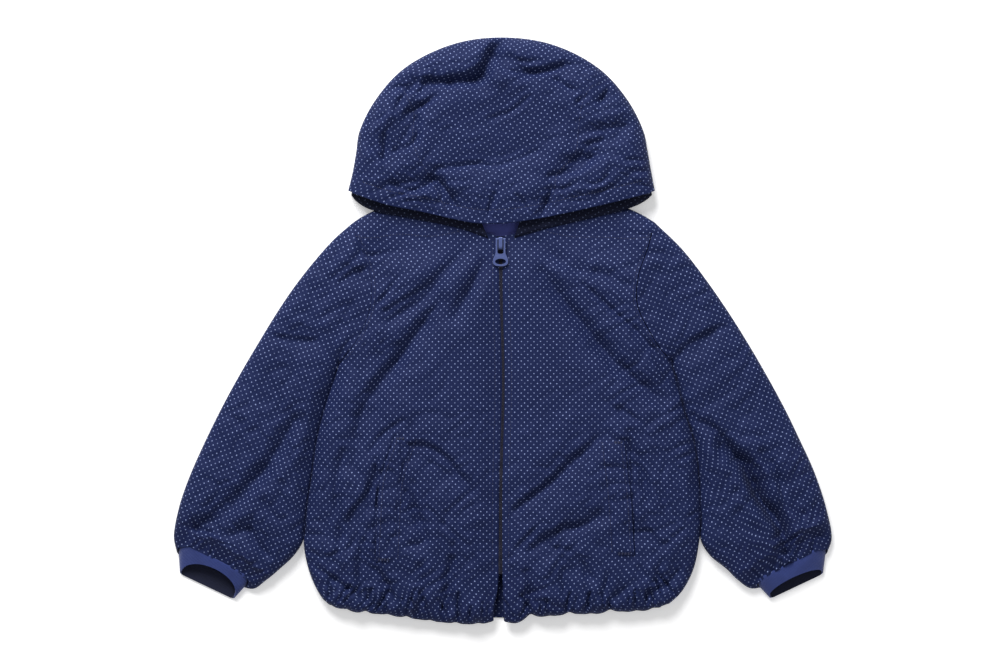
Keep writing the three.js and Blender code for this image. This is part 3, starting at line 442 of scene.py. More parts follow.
SLEEVE_TROUGHS = [
    Fold([(-228, -5), (-186, -9)], 9, 3),
    Fold([(-208, -88), (-242, -143)], 11, 4),
    Fold([(-242, -143), (-315, -203)], 10, 4),
    Fold([(-307, -200), (-252, -198)], 9, 3.5),
    Fold([(-252, -198), (-232, -225)], 9, 3),
    Fold([(173, -28), (222, 5)], 9, 3),
    Fold([(190, -88), (260, -145)], 10, 3.5),
    Fold([(243, -138), (270, -185)], 11, 5),
    Fold([(270, -185), (287, -223)], 9, 4),
    Fold([(262, -122), (300, -183)], 9, 3.5),
    Fold([(298, -215), (322, -208)], 8, 3),
]

HOOD_TROUGHS = [
    Fold([(2, 291), (-22, 251)], 9, 5),
    Fold([(-22, 251), (-104, 245)], 10, 5),
    Fold([(-65, 235), (-95, 217)], 9, 3.5),
    Fold([(-85, 215), (-106, 180)], 10, 4),
    Fold([(-117, 195), (-117, 170)], 9, 4),
    Fold([(-110, 147), (-68, 152)], 9, 4),
    Fold([(-68, 152), (-46, 125)], 8, 3.5),
    Fold([(-65, 162), (35, 180)], 12, 2.5),
    Fold([(-7, 275), (28, 258)], 9, 3.5),
    Fold([(28, 258), (80, 267)], 9, 3.5),
    Fold([(52, 251), (72, 240)], 9, 3),
    Fold([(78, 197), (122, 205)], 9, 4),
    Fold([(72, 172), (115, 190)], 9, 4),
    Fold([(48, 155), (88, 172)], 9, 3.5),
    Fold([(50, 142), (40, 117)], 8, 3),
    Fold([(108, 245), (97, 227)], 9, 3),
]


BODY_CRUMPLES = [Crumple(26, 35, 5, 2.8), Crumple(12, -50, 9, 1.5)]
HOOD_CRUMPLES = [Crumple(24, 20, 15, 3.0), Crumple(11, -35, 19, 1.4)]


def creases(width: float, depth: float, *lines: Sequence[Point]) -> list[Fold]:
    """Creases of one kind, placed by pixels of the photograph.

    Args:
        width: Half the width of each.
        depth: How deep each is.
        lines: Pixels that each runs through.

    Returns:
        The folds on the plan.
    """
    return [Fold(Line(from_photo(line), 4).dense, width, depth) for line in lines]


BODY_CREASES = [
    *creases(
        2.8, 2.1,
        [(402, 235), (425, 240), (445, 235)], [(400, 250), (365, 256), (357, 245)],
        [(342, 282), (355, 272), (372, 270)], [(400, 277), (380, 302)], [(420, 290), (385, 312)],
        [(577, 280), (597, 297), (620, 317), (635, 330)], [(372, 450), (382, 435), (402, 421)],
        [(427, 507), (450, 530), (470, 547)], [(380, 472), (365, 497), (352, 515), (350, 537)],
        [(362, 527), (344, 557)], [(472, 552), (485, 580)], [(312, 565), (335, 580), (360, 597)],
        [(615, 407), (625, 420)], [(620, 407), (640, 422)], [(542, 522), (527, 537), (510, 557)],
        [(550, 547), (572, 552), (585, 570), (590, 577)], [(635, 532), (650, 532), (657, 545)],
        [(640, 567), (650, 582)], [(562, 570), (565, 595)], [(522, 595), (545, 590)],
        [(635, 582), (615, 597)], [(680, 570), (665, 587), (650, 595)], [(655, 485), (667, 507)],
        [(402, 437), (407, 495)],
    ),
    *creases(
        3.6, 3.0,
        [(635, 330), (645, 340), (655, 352), (665, 375), (677, 392)],
        [(410, 445), (427, 447), (445, 457), (460, 477), (470, 492)],
        [(407, 492), (417, 517), (425, 540), (407, 547)], [(630, 432), (635, 460), (645, 482), (647, 500)],
        [(600, 515), (585, 525), (562, 530), (545, 540), (532, 550)],
        [(597, 440), (575, 460), (555, 480), (535, 495), (517, 510)],
    ),
    *creases(
        6.0, 3.9,
        [(462, 252), (440, 280), (420, 302), (390, 322)], [(482, 265), (470, 292), (455, 317)],
        [(537, 242), (555, 257), (577, 270), (605, 276), (627, 286)],
        [(440, 300), (425, 322), (410, 345), (395, 365), (375, 390), (362, 412), (357, 437)],
        [(542, 272), (562, 300), (580, 322), (600, 347), (622, 370), (645, 387), (662, 405)],
    ),
    *creases(
        2.3, 3.2,
        [(376, 466), (378, 490), (376, 517), (375, 545)], [(629, 440), (632, 470), (634, 503), (634, 526)],
    ),
    *creases(
        4.0, 3.6,
        [(362, 545), (360, 580), (370, 605)], [(375, 570), (385, 582), (392, 600)],
        [(452, 560), (447, 585), (450, 610)], [(378, 462), (370, 492), (373, 520), (366, 540)],
        [(344, 452), (336, 490), (342, 530), (336, 560)], [(420, 565), (425, 590), (418, 612)],
        [(527, 572), (531, 595), (527, 612)], [(608, 575), (603, 596)], [(662, 560), (655, 580)],
    ),
]

SLEEVE_CREASES = [
    *creases(
        3.0, 2.2,
        [(275, 337), (297, 342), (317, 341)], [(195, 532), (230, 536), (250, 530)],
        [(250, 530), (257, 545), (270, 557)], [(675, 360), (692, 342), (725, 327)],
        [(800, 547), (812, 537), (825, 540)], [(732, 487), (750, 505), (767, 520)],
    ),
    *creases(
        3.6, 3.0,
        [(788, 556), (795, 541), (812, 535), (827, 541)], [(800, 562), (803, 550)],
        [(692, 420), (712, 427), (725, 440), (737, 457), (755, 467), (762, 477)],
        [(745, 470), (757, 495), (770, 515), (782, 532), (789, 555)],
        [(762, 452), (777, 475), (787, 505), (802, 515)],
    ),
    *creases(
        7.0, 11.5,
        [(722, 447), (742, 463), (755, 483), (763, 502), (778, 519), (785, 535), (788, 553)],
    ),
    *creases(
        7.0, 4.5,
        [(334, 377), (325, 402), (315, 440), (310, 475), (305, 510)],
        [(685, 412), (695, 445), (700, 482), (702, 515)],
        [(295, 420), (280, 450), (260, 475), (240, 500), (215, 520), (187, 535)],
    ),
]

HOOD_CREASES = [
    *creases(
        2.7, 2.2,
        [(437, 97), (422, 107), (407, 115)], [(395, 187), (405, 202)], [(496, 195), (488, 216)],
        [(555, 81), (575, 92)], [(587, 97), (577, 105), (585, 115)], [(610, 87), (600, 105)],
        [(557, 192), (575, 185)], [(517, 197), (530, 212)],
        [(490, 120), (512, 112), (530, 97)], [(437, 170), (475, 165), (497, 166), (517, 160), (537, 152)],
    ),
    *creases(
        3.2, 3.0,
        [(417, 117), (417, 140), (410, 147), (396, 152)], [(385, 137), (385, 162)],
        [(550, 177), (580, 170), (590, 160)], [(552, 190), (542, 215)],
        [(495, 57), (505, 70), (530, 74), (550, 71), (565, 66), (582, 65)],
    ),
    *creases(
        3.6, 3.8,
        [(450, 84), (427, 83), (420, 93), (398, 87)],
        [(392, 185), (412, 191), (425, 187), (435, 180), (447, 192), (456, 207)],
        [(417, 84), (408, 92), (395, 112)], [(372, 112), (368, 140), (378, 160)],
    ),
    *creases(
        5.0, 2.6,
        [(572, 146), (600, 143), (615, 138), (625, 127)], [(577, 162), (592, 158), (612, 150)],
    ),
    *creases(
        5.0, 6.0,
        [(503, 41), (494, 50), (487, 66), (479, 78), (452, 82)],
    ),
]


def pleats(pixels: Sequence[Point], count: int, tall: float, depth: float, seed: int) -> list[Fold]:
    """Short creases that run in from an edge that elastic draws together.

    Args:
        pixels: Pixels of the edge, from left to right.
        count: How many there are.
        tall: Length of a middling one.
        depth: How deep a middling one is.
        seed: Start of the random draw.

    Returns:
        The folds on the plan.
    """
    line, draw = Line(from_photo(pixels)), np.random.default_rng(seed)
    shares = (np.arange(count) + draw.uniform(0.1, 0.9, count)) / count
    folds = []
    for foot, way in zip(line.at(shares), line.inward(shares, 1)):
        lean, bend = draw.uniform(-0.55, 0.55), draw.uniform(-1.6, 1.6, 2)
        run = (way + lean * np.array([way[1], -way[0]])) * tall * draw.uniform(0.45, 1.3)
        size = draw.uniform(0.6, 1.3)
        folds.append(Fold([foot, foot + run / 2 + bend, foot + run], 1.7 * size**0.5, depth * size))
    return folds


BODY_CREASES += pleats([(322, 594), (370, 611), (440, 619), (495, 618)], 17, 24, 4.0, 41)
BODY_CREASES += pleats([(505, 618), (560, 616), (610, 611), (680, 594)], 17, 20, 4.0, 42)
SLEEVE_CREASES += pleats([(182, 553), (247, 588)], 6, 12, 2.4, 43)
SLEEVE_CREASES += pleats([(763, 588), (828, 553)], 7, 14, 3.2, 44)


class Half:
    """One half's curves, with the hem drawn in where the elastic gathers it."""

    def __init__(self, outline: HalfOutline) -> None:
        """Runs a curve through every seam line of the outline."""
        self.outline = outline
        self.name = outline.name
        self.sign = outline.sign
        self.side = Line(outline.side)
        self.armhole = Line(outline.armhole)
        self.shoulder = Line(outline.shoulder)
        self.sleeve_outer = Line(outline.sleeve_outer)
        self.sleeve_inner = Line(outline.sleeve_inner)
        self.yoke_seam = Line(outline.yoke_seam)
        self.neckline = Line(outline.neckline)
        self.yoke_neck = Line(outline.yoke_neck)
        self.lip_fold = Line(outline.lip_fold)
        self.lip_inner = Line(outline.lip_inner)
        self.welt = Line(outline.welt)
        self.hem = self._gathered(Line(outline.hem))
        ends = self.sleeve_outer.at(1.0), self.sleeve_inner.at(1.0)
        run = (ends[1] - ends[0]) / np.linalg.norm(ends[1] - ends[0])
        self.wrist = ends
        self.wrist_axis = np.array([run[1], -run[0]]) if run[0] > 0 else np.array([-run[1], run[0]])

    def _gathered(self, plain: Line) -> Line:
        """The hem with a notch wherever the elastic draws the cloth in."""
        shares = even(89)
        points = plain.at(shares)
        for share, depth in self.outline.hem_notches:
            across = (shares - share) * plain.length / 3.6
            notch = np.exp(-(across**2)) - 0.25 * np.exp(-((np.abs(across) - 2.2) ** 2))
            points[:, 1] += 0.7 * depth * notch
        return Line(points, 3)


@dataclass
class GarmentForm:
    """Height of body and sleeves over the plan, so that seams meet."""

    halves: tuple[Half, Half]
    edge: float = 7
    hem_edge: float = 10
    run: float = 26
    body_full: float = 19
    belly: float = 3
    zip_dip: float = 5
    zip_x: float = -2
    zip_bow: float = 2.8
    neck_full: float = 11.4
    sleeve_full: float = 19
    cuff_full: float = 12.5
    hem_gathers: float = 5.4
    hem_reach: float = 27
    wrist_gathers: float = 0.9
    wrist_reach: float = 13
    # Half width and depth of the grooves along the seams and the pocket openings
    armhole_groove: Point = (1.6, 0.12)
    yoke_groove: Point = (1.5, 0.06)
    pocket_groove: Point = (2.0, 2.8)
    edges: list[Array] = field(default_factory=list)

    def __post_init__(self) -> None:
        """Samples the outline that the cloth rises from."""
        for half in self.halves:
            self.edges += [
                half.side.sampled(44),
                half.shoulder.sampled(12),
                half.sleeve_outer.sampled(60),
                half.sleeve_inner.sampled(44),
                half.hem.sampled(80),
            ]
        self.wrists = [np.array(half.wrist) for half in self.halves]
        self.seams = [half.armhole.sampled(24) for half in self.halves]
        self.yokes = [half.yoke_seam.sampled(16) for half in self.halves]
        self.openings = [half.welt.sampled(12) for half in self.halves]

    def zip_line(self, y: Array) -> Array:
        """Plan x of the middle of the zip, which bows a little."""
        return self.zip_x + self.zip_bow * bell(y + 50, 75)

    def edge_height(self, y: Array) -> Array:
        """Height of the widest point of the rolled edge."""
        return mix(self.hem_edge, self.edge, smoothstep(-272, -235, y))

    def on_neck(self, x: Array, y: Array) -> Array:
        """1 where the hood's lower edge lies on the body."""
        return smoothstep(52, 96, y) * (1 - smoothstep(112, 150, np.abs(x)))

    def fullness(self, x: Array, y: Array) -> Array:
        """Height that the cloth levels out at."""
        reach = np.abs(x)
        body = (
            self.body_full
            + self.belly * np.exp(-(((reach - 88) / 60) ** 2) - ((y + 130) / 110) ** 2)
            - self.zip_dip * bell(x - self.zip_line(y), 16)
        )
        near_wrist = smoothstep(0, 26, distance_to(x, y, self.wrists))
        sleeve = np.where(reach > 205, mix(self.cuff_full, self.sleeve_full, near_wrist), self.sleeve_full)
        return mix(mix(body, sleeve, smoothstep(150, 185, reach)), self.neck_full, self.on_neck(x, y))

    def gathers(self, x: Array, y: Array) -> Array:
        """Small pleats that the elastic draws at the hem and at the wrists."""
        hem = bell(y + 292, self.hem_reach) * (np.abs(x) < 175)
        wander = x + 7 * blotches(x, y, (30, 22), 35)
        waves = 1.7 * np.abs(blotches(wander, y * 0.25, (11, 30), 31)) ** 0.7 - 0.6
        wrist = bell(distance_to(x, y, self.wrists), self.wrist_reach) * (np.abs(x) > 200)
        total = self.hem_gathers * hem * waves
        for half, chain in zip(self.halves, self.wrists):
            run = (chain[1] - chain[0]) / np.linalg.norm(chain[1] - chain[0])
            along = x * run[0] + y * run[1]
            here = wrist * (np.sign(x) == np.sign(chain[0][0]))
            drawn = blotches(along, along * 0, (4.5, 9), 33 + half.sign)
            total = total + self.wrist_gathers * here * drawn
        return total

    def small_folds(self, x: Array, y: Array) -> Array:
        """Creases and crumples that show close to."""
        sink = folded(x, y, BODY_CREASES) + folded(x, y, SLEEVE_CREASES)
        calm = 1 - 0.6 * bell(x - self.zip_line(y), 14)
        calm = calm * (1 - 0.72 * np.exp(-((x / 105) ** 4) - ((y + 5) / 100) ** 4))
        for crumple in BODY_CRUMPLES:
            sink = sink - calm * crumple.at(x, y)
        return sink - self.gathers(x, y)

    def top(self, x: Array, y: Array) -> Array:
        """Top of the cloth at places on the plan."""
        up = rise(distance_to(x, y, self.edges), self.run)
        edge = self.edge_height(y)
        settled = 1 - 0.75 * smoothstep(60, 96, y) * (1 - smoothstep(112, 150, np.abs(x)))
        deep = 1.25 * settled * (folded(x, y, BODY_TROUGHS) + folded(x, y, SLEEVE_TROUGHS))
        small = settled * self.small_folds(x, y)
        grooves = (
            (self.seams, self.armhole_groove), (self.yokes, self.yoke_groove),
            (self.openings, self.pocket_groove),
        )
        for chains, (width, depth) in grooves:
            small = small + depth * bell(distance_to(x, y, chains), width)
        return edge + up * (self.fullness(x, y) - edge) - up**2 * deep - up * small


@dataclass
class HoodForm:
    """Height of the hood over the plan, and the lines that its three panels meet on."""

    edge: float = 11
    run: float = 32
    full: float = 28
    dish: float = 6
    brim_full: float = 22
    hem_depth: float = 13
    # Half width and depth of the grooves along the panel seams and the brim's stitching
    seam_groove: Point = (1.6, 0.2)
    hem_groove: Point = (1.3, 0.5)
    rim: Line = field(default_factory=lambda: Line([
        (-154.5, 141.5), (-150, 160), (-146.5, 180), (-143.5, 200), (-127.5, 232), (-98.5, 264),
        (-50.5, 288), (-2.5, 295), (49.5, 288), (96.5, 264), (125.5, 232), (141.5, 200), (145.5, 180),
        (149, 160), (152.5, 141.5),
    ]))
    brim: Line = field(default_factory=lambda: Line([
        (-150, 139.5), (-116.5, 128), (-77.5, 120), (-47.5, 113), (-28, 109.5), (-2.5, 109),
        (36.5, 114), (97.5, 127), (148, 139.5),
    ]))
    neck: Line = field(default_factory=lambda: Line([
        (-148, 140), (-126, 129), (-98, 134), (-76, 141), (-45, 124), (0, 113), (45, 124), (76, 141),
        (98, 136), (123, 129), (146, 140),
    ]))
    # Where the panels meet, as shares of the way along brim, rim and neck
    brim_shares: tuple[float, ...] = (0, 0.342, 0.626, 1)
    rim_shares: tuple[float, ...] = (0, 0.28, 0.72, 1)
    neck_shares: tuple[float, ...] = (0, 0.36, 0.64, 1)

    def __post_init__(self) -> None:
        """Runs the two panel seams, which the photograph shows, from brim to rim."""
        self.edges = [self.rim.sampled(90)]
        left = from_photo([(435, 180), (417, 144), (417, 112), (405, 85)])
        right = from_photo([(550, 193), (554, 173), (572, 152), (575, 128), (581, 97), (597, 76)])
        self.seams = [
            self._seam(0, []), self._seam(1, left), self._seam(2, right), self._seam(3, []),
        ]
        self.seam_chains = [seam.sampled(30) for seam in self.seams[1:3]]
        self.brim_chain = self.brim.sampled(60)

    def _seam(self, k: int, through: Sequence[Point]) -> Line:
        """The k-th panel edge, from the brim through some points to the rim."""
        ends = self.brim.at(self.brim_shares[k]), self.rim.at(self.rim_shares[k])
        return Line([tuple(ends[0]), *through, tuple(ends[1])])

    def top(self, x: Array, y: Array) -> Array:
        """Top of the hood at places on the plan."""
        up = rise(distance_to(x, y, self.edges), self.run)
        dish = self.dish * np.exp(-(((x + 2) / 80) ** 2) - ((y - 185) / 50) ** 2)
        full = mix(self.brim_full, self.full - dish, smoothstep(112, 175, y))
        small = folded(x, y, HOOD_CREASES)
        calm = 1 - 0.7 * np.exp(-(((x + 5) / 78) ** 4) - ((y - 200) / 52) ** 4)
        for crumple in HOOD_CRUMPLES:
            small = small - calm * crumple.at(x, y)
        width, depth = self.seam_groove
        small = small + depth * bell(distance_to(x, y, self.seam_chains), width)
        from_brim = distance_to(x, y, [self.brim_chain])
        small = small * smoothstep(0, 22, from_brim + 6)
        width, depth = self.hem_groove
        small = small + depth * bell(from_brim - self.hem_depth, width)
        return self.edge + up * (full - self.edge) - 1.4 * up**2 * folded(x, y, HOOD_TROUGHS) - up * small


class ClothMap:
    """Where each place on the plan lies on the flat cloth, so that the print follows the folds."""

    def __init__(self, height: Height, low: Point, high: Point, turn: float = 0, step: float = 2) -> None:
        """Rolls the cloth out over a raster.

        Args:
            height: Top of the cloth over the plan.
            low: Lowest plan corner that is covered.
            high: Highest plan corner that is covered.
            turn: Direction of the grain, in degrees from upright.
            step: Raster spacing.
        """
        self.step = step
        self.centre = (np.array(low) + high) / 2
        half = (np.array(high, float) - low) / 2
        self.cos, self.sin = math.cos(math.radians(turn)), math.sin(math.radians(turn))
        reach_u = half[0] * abs(self.cos) + half[1] * abs(self.sin)
        reach_v = half[0] * abs(self.sin) + half[1] * abs(self.cos)
        self.start = np.array([-reach_u, -reach_v])
        u = np.arange(-reach_u, reach_u + step, step)
        v = np.arange(-reach_v, reach_v + step, step)
        uu, vv = np.meshgrid(u, v, indexing="ij")
        x = self.centre[0] + uu * self.cos - vv * self.sin
        y = self.centre[1] + uu * self.sin + vv * self.cos
        z = height(x.ravel(), y.ravel()).reshape(x.shape)
        self.extra = [self._rolled_out(z, axis) for axis in (0, 1)]

    def _rolled_out(self, z: Array, axis: int) -> Array:
        """Extra cloth that the slopes take up along one raster axis, counted from the middle."""
        slope = np.gradient(z, self.step, axis=axis)
        spare = np.minimum(np.hypot(1, slope) - 1, 1.5) * self.step
        total = np.cumsum(spare, axis=axis)
        total = total - np.take(total, [z.shape[axis] // 2], axis=axis)
        for _ in range(6):
            total = (np.roll(total, 1, 1 - axis) + total + np.roll(total, -1, 1 - axis)) / 3
        return total

    def at(self, x: Array, y: Array) -> Array:
        """Places on the flat cloth, in millimetres."""
        dx, dy = x - self.centre[0], y - self.centre[1]
        u, v = dx * self.cos + dy * self.sin, dy * self.cos - dx * self.sin
        flat = []
        for plain, extra in zip((u, v), self.extra):
            i = np.clip((u - self.start[0]) / self.step, 0, extra.shape[0] - 1.001)
            j = np.clip((v - self.start[1]) / self.step, 0, extra.shape[1] - 1.001)
            i0, j0 = i.astype(int), j.astype(int)
            low = mix(extra[i0, j0], extra[i0 + 1, j0], i - i0)
            high = mix(extra[i0, j0 + 1], extra[i0 + 1, j0 + 1], i - i0)
            flat.append(plain + mix(low, high, j - j0))
        return np.stack(flat, axis=-1)


# Making meshes


@dataclass
class Patch:
    """A grid of cloth whose vertices are moved into place.

    Attributes:
        across: Value of each grid column.
        along: Value of each grid row.
        place: Turns column and row values into plan x, y and height.
    """

    across: Array
    along: Array
    place: Callable[[Array, Array], Placed]


def patch_into(bm: BMesh, patch: Patch, cloth: ClothMap | None) -> None:
    """Adds one patch to a bmesh, with its print map.

    Args:
        bm: The mesh that it goes into.
        patch: The grid and its place.
        cloth: Map of the flat cloth, or None where plan places do.
    """
    columns, rows = len(patch.across) - 1, len(patch.along) - 1
    made = bmesh.ops.create_grid(bm, x_segments=columns, y_segments=rows, size=0.5)["verts"]
    start = np.array([vert.co[:2] for vert in made])
    i = np.rint((start[:, 0] + 0.5) * columns).astype(int)
    j = np.rint((start[:, 1] + 0.5) * rows).astype(int)
    x, y, z = patch.place(patch.across[i], patch.along[j])
    flat = (cloth.at(x, y) if cloth else np.stack([x, y], axis=-1)) * MM
    layer = bm.loops.layers.uv.get(CLOTH_UV) or bm.loops.layers.uv.new(CLOTH_UV)
    for vert, px, py, pz, uv in zip(made, x * MM, y * MM, z * MM, flat):
        vert.co = (px, py, pz)
        for loop in vert.link_loops:
            loop[layer].uv = uv


def face_outwards(mesh: bpy.types.Mesh) -> None:
    """Turns the faces so that the upper ones look up and the lower ones down."""
    count = len(mesh.polygons)
    normals, centres, areas = np.empty(count * 3), np.empty(count * 3), np.empty(count)
    mesh.polygons.foreach_get("normal", normals)
    mesh.polygons.foreach_get("center", centres)
    mesh.polygons.foreach_get("area", areas)
    up = normals.reshape(-1, 3)[:, 2] * areas
    height = centres.reshape(-1, 3)[:, 2]
    spread = height - np.average(height, weights=areas)
    level = np.ptp(height) < LEVEL
    if (up.sum() if level else (up * spread).sum()) < 0:
        mesh.flip_normals()


def finish_piece(name: str, bm: BMesh, material: Material) -> Object:
    """Turns a bmesh into a smooth shown piece that rides on the jacket.

    Args:
        name: The piece's name.
        bm: Its mesh, in metres; it is freed.
        material: Its finish.

    Returns:
        The piece.
    """
    mesh = bpy.data.meshes.new(name)
    bm.to_mesh(mesh)
    bm.free()
    mesh.polygons.foreach_set("use_smooth", [True] * len(mesh.polygons))
    mesh.materials.append(material)
    piece = bpy.data.objects.new(name, mesh)
    bpy.context.scene.collection.objects.link(piece)
    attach(piece, JACKET)
    return piece


def cloth_piece(
    name: str,
    patches: Sequence[Patch],
    material: Material,
    cloth: ClothMap | None = None,
    wall: float = 0.7,
    merge: float = 0.02,
    inside: Material | None = None,
) -> Object:
    """Makes a piece of cloth from patches that share their edges.

    Args:
        name: The piece's name.
        patches: Its grids.
        material: Its finish.
        cloth: Map of the flat cloth for the print.
        wall: Thickness, in millimetres.
        merge: Distance within which vertices are joined, in millimetres.
        inside: Finish of its inner side, where that differs, such as a darker copy that paints shade inside
            a cuff.

    Returns:
        The piece.
    """
    bm = bmesh.new()
    for patch in patches:
        patch_into(bm, patch, cloth)
    bmesh.ops.remove_doubles(bm, verts=bm.verts[:], dist=merge * MM)
    if len(patches) > 1:
        bmesh.ops.recalc_face_normals(bm, faces=bm.faces[:])
    for edge in bm.edges:
        edge.smooth = not edge.is_boundary and edge.calc_face_angle(0) < SHARP_ANGLE
    piece = finish_piece(name, bm, material)
    face_outwards(piece.data)
    thick = piece.modifiers.new("cloth wall", "SOLIDIFY")
    thick.thickness = wall * MM
    thick.offset = -1
    thick.use_rim = True
    if inside:
        piece.data.materials.append(inside)
        thick.material_offset = 1
    return piece


def turned_under(
    edge: Array, inward: Array, height: Array | float, reach: float, turn: Array
) -> Placed:
    """A quarter turn from the widest point of a rolled edge down to the floor.

    Args:
        edge: Plan points of the edge.
        inward: Unit vectors into the cloth.
        height: Height of the edge.
        reach: How far under it ends.
        turn: 0 at the edge, 1 on the floor.

    Returns:
        Plan x, y and height.
    """
    angle = turn * math.pi / 2
    travel = reach * (1 - np.cos(angle))
    return (
        edge[..., 0] + inward[..., 0] * travel,
        edge[..., 1] + inward[..., 1] * travel,
        height * (1 - np.sin(angle)),
    )


def coons(a: Array, b: Array, low: Line, high: Line, left: Line, right: Line) -> Array:
    """Plan points inside four curves that meet at their ends.

    Args:
        a: Shares from left to right.
        b: Shares from low to high.
        low: Curve where b is 0.
        high: Curve where b is 1.
        left: Curve where a is 0.
        right: Curve where a is 1.

    Returns:
        The plan points.
    """
    a1, b1 = a[..., None], b[..., None]
    sides = (1 - b1) * low.at(a) + b1 * high.at(a) + (1 - a1) * left.at(b) + a1 * right.at(b)
    corners = (
        (1 - a1) * (1 - b1) * low.at(0) + a1 * (1 - b1) * low.at(1)
        + (1 - a1) * b1 * high.at(0) + a1 * b1 * high.at(1)
    )
    return sides - corners


def beads_into(bm: BMesh, spots: Sequence[Matrix], u_segments: int, v_segments: int = 5) -> None:
    """Adds a bead for each place, in small batches, because an operator slows down as a mesh grows.

    Args:
        bm: The mesh that they go into.
        spots: Place, turn and half sizes of each bead.
        u_segments: Faces round a bead.
        v_segments: Faces from end to end.
    """
    shape = {"u_segments": u_segments, "v_segments": v_segments, "radius": 1}
    for start in range(0, len(spots), BATCH):
        batch = bmesh.new()
        for spot in spots[start : start + BATCH]:
            bmesh.ops.create_uvsphere(batch, matrix=spot, **shape)
        mesh = bpy.data.meshes.new("batch")
        batch.to_mesh(mesh)
        batch.free()
        bm.from_mesh(mesh)
        bpy.data.meshes.remove(mesh)


# Finishes


class Graph:
    """The nodes of one material, made one after another."""

    def __init__(self, name: str, roughness: float) -> None:
        """Starts a material.

        Args:
            name: The material's name.
            roughness: The shader's roughness.
        """
        self.material = bpy.data.materials.new(name)
        self.material.use_nodes = True
        self.tree = self.material.node_tree
        self.shader = self.tree.nodes["Principled BSDF"]
        self.set(Roughness=roughness)

    def add(
        self, kind: str, inputs: dict[str | int, object] | None = None, **settings: object
    ) -> bpy.types.Node:
        """Adds a node.

        Args:
            kind: The node's type.
            inputs: Values or sockets of other nodes, by the input's name or number.
            settings: Values of the node's own properties.

        Returns:
            The node.
        """
        node = self.tree.nodes.new(kind)
        for name, value in settings.items():
            setattr(node, name, value)
        for key, value in (inputs or {}).items():
            if isinstance(value, Socket):
                self.tree.links.new(value, node.inputs[key])
            else:
                node.inputs[key].default_value = value
        return node

    def sum(self, operation: str, a: object, b: object = 0.0) -> Socket:
        """Joins two numbers by one operation."""
        return self.add("ShaderNodeMath", {0: a, 1: b}, operation=operation).outputs[0]

    def join(self, operation: str, a: object, b: object = (0.0, 0.0, 0.0)) -> Socket:
        """Joins two vectors by one operation."""
        return self.add("ShaderNodeVectorMath", {0: a, 1: b}, operation=operation).outputs[0]

    def ranged(self, value: object, limits: dict[str, float], interpolation: str = "LINEAR") -> Socket:
        """Carries a number from one range into another."""
        inputs = {"Value": value, **limits}
        return self.add("ShaderNodeMapRange", inputs, interpolation_type=interpolation).outputs[0]

    def set(self, **values: float | tuple[float, ...]) -> None:
        """Sets the shader's own values, named with an underscore for each space."""
        for name, value in values.items():
            self.shader.inputs[name.replace("_", " ")].default_value = value

    def scaled(self, vector: Socket, size: float, turn: float = 0) -> Socket:
        """A pattern's coordinates, so that one unit is size metres, turned by some degrees."""
        inputs = {"Vector": vector, "Scale": (1 / size,) * 3, "Rotation": (0, 0, math.radians(turn))}
        return self.add("ShaderNodeMapping", inputs).outputs[0]

    def noise(self, vector: Socket, detail: float = 2) -> Socket:
        """Soft noise from 0 to 1."""
        return self.add("ShaderNodeTexNoise", {"Vector": vector, "Scale": 1.0, "Detail": detail}).outputs[0]

    def blend(self, share: object, a: object, b: object) -> Socket:
        """A colour between a and b."""
        node = self.add("ShaderNodeMix", data_type="RGBA")
        for key, value in (("Factor_Float", share), ("A_Color", a), ("B_Color", b)):
            socket = next(s for s in node.inputs if s.identifier == key)
            if isinstance(value, Socket):
                self.tree.links.new(value, socket)
            else:
                socket.default_value = value
        return next(s for s in node.outputs if s.identifier == "Result_Color")

    def weave(self, vector: Socket, pitch: float) -> Socket:
        """Plain weave from -1 to 1, one thread each way every pitch metres."""
        parts = self.add("ShaderNodeSeparateXYZ", {0: self.scaled(vector, pitch / math.pi)})
        return self.sum("MULTIPLY", self.sum("SINE", parts.outputs[0]), self.sum("SINE", parts.outputs[1]))

    def relief(self, height: Socket, strength: float = 1.0) -> None:
        """Gives the shader a relief, from a height in millimetres."""
        bump = self.add("ShaderNodeBump", {"Height": height, "Distance": MM, "Strength": strength})
        self.tree.links.new(bump.outputs[0], self.shader.inputs["Normal"])

    def colour(self, socket: Socket) -> None:
        """Gives the shader its colour."""
        self.tree.links.new(socket, self.shader.inputs["Base Color"])

    def uv(self) -> Socket:
        """The piece's place on its flat cloth, in metres."""
        return self.add("ShaderNodeUVMap", uv_map=CLOTH_UV).outputs[0]

    def place(self) -> Socket:
        """The place on the object, in metres."""
        return self.add("ShaderNodeTexCoord").outputs["Object"]


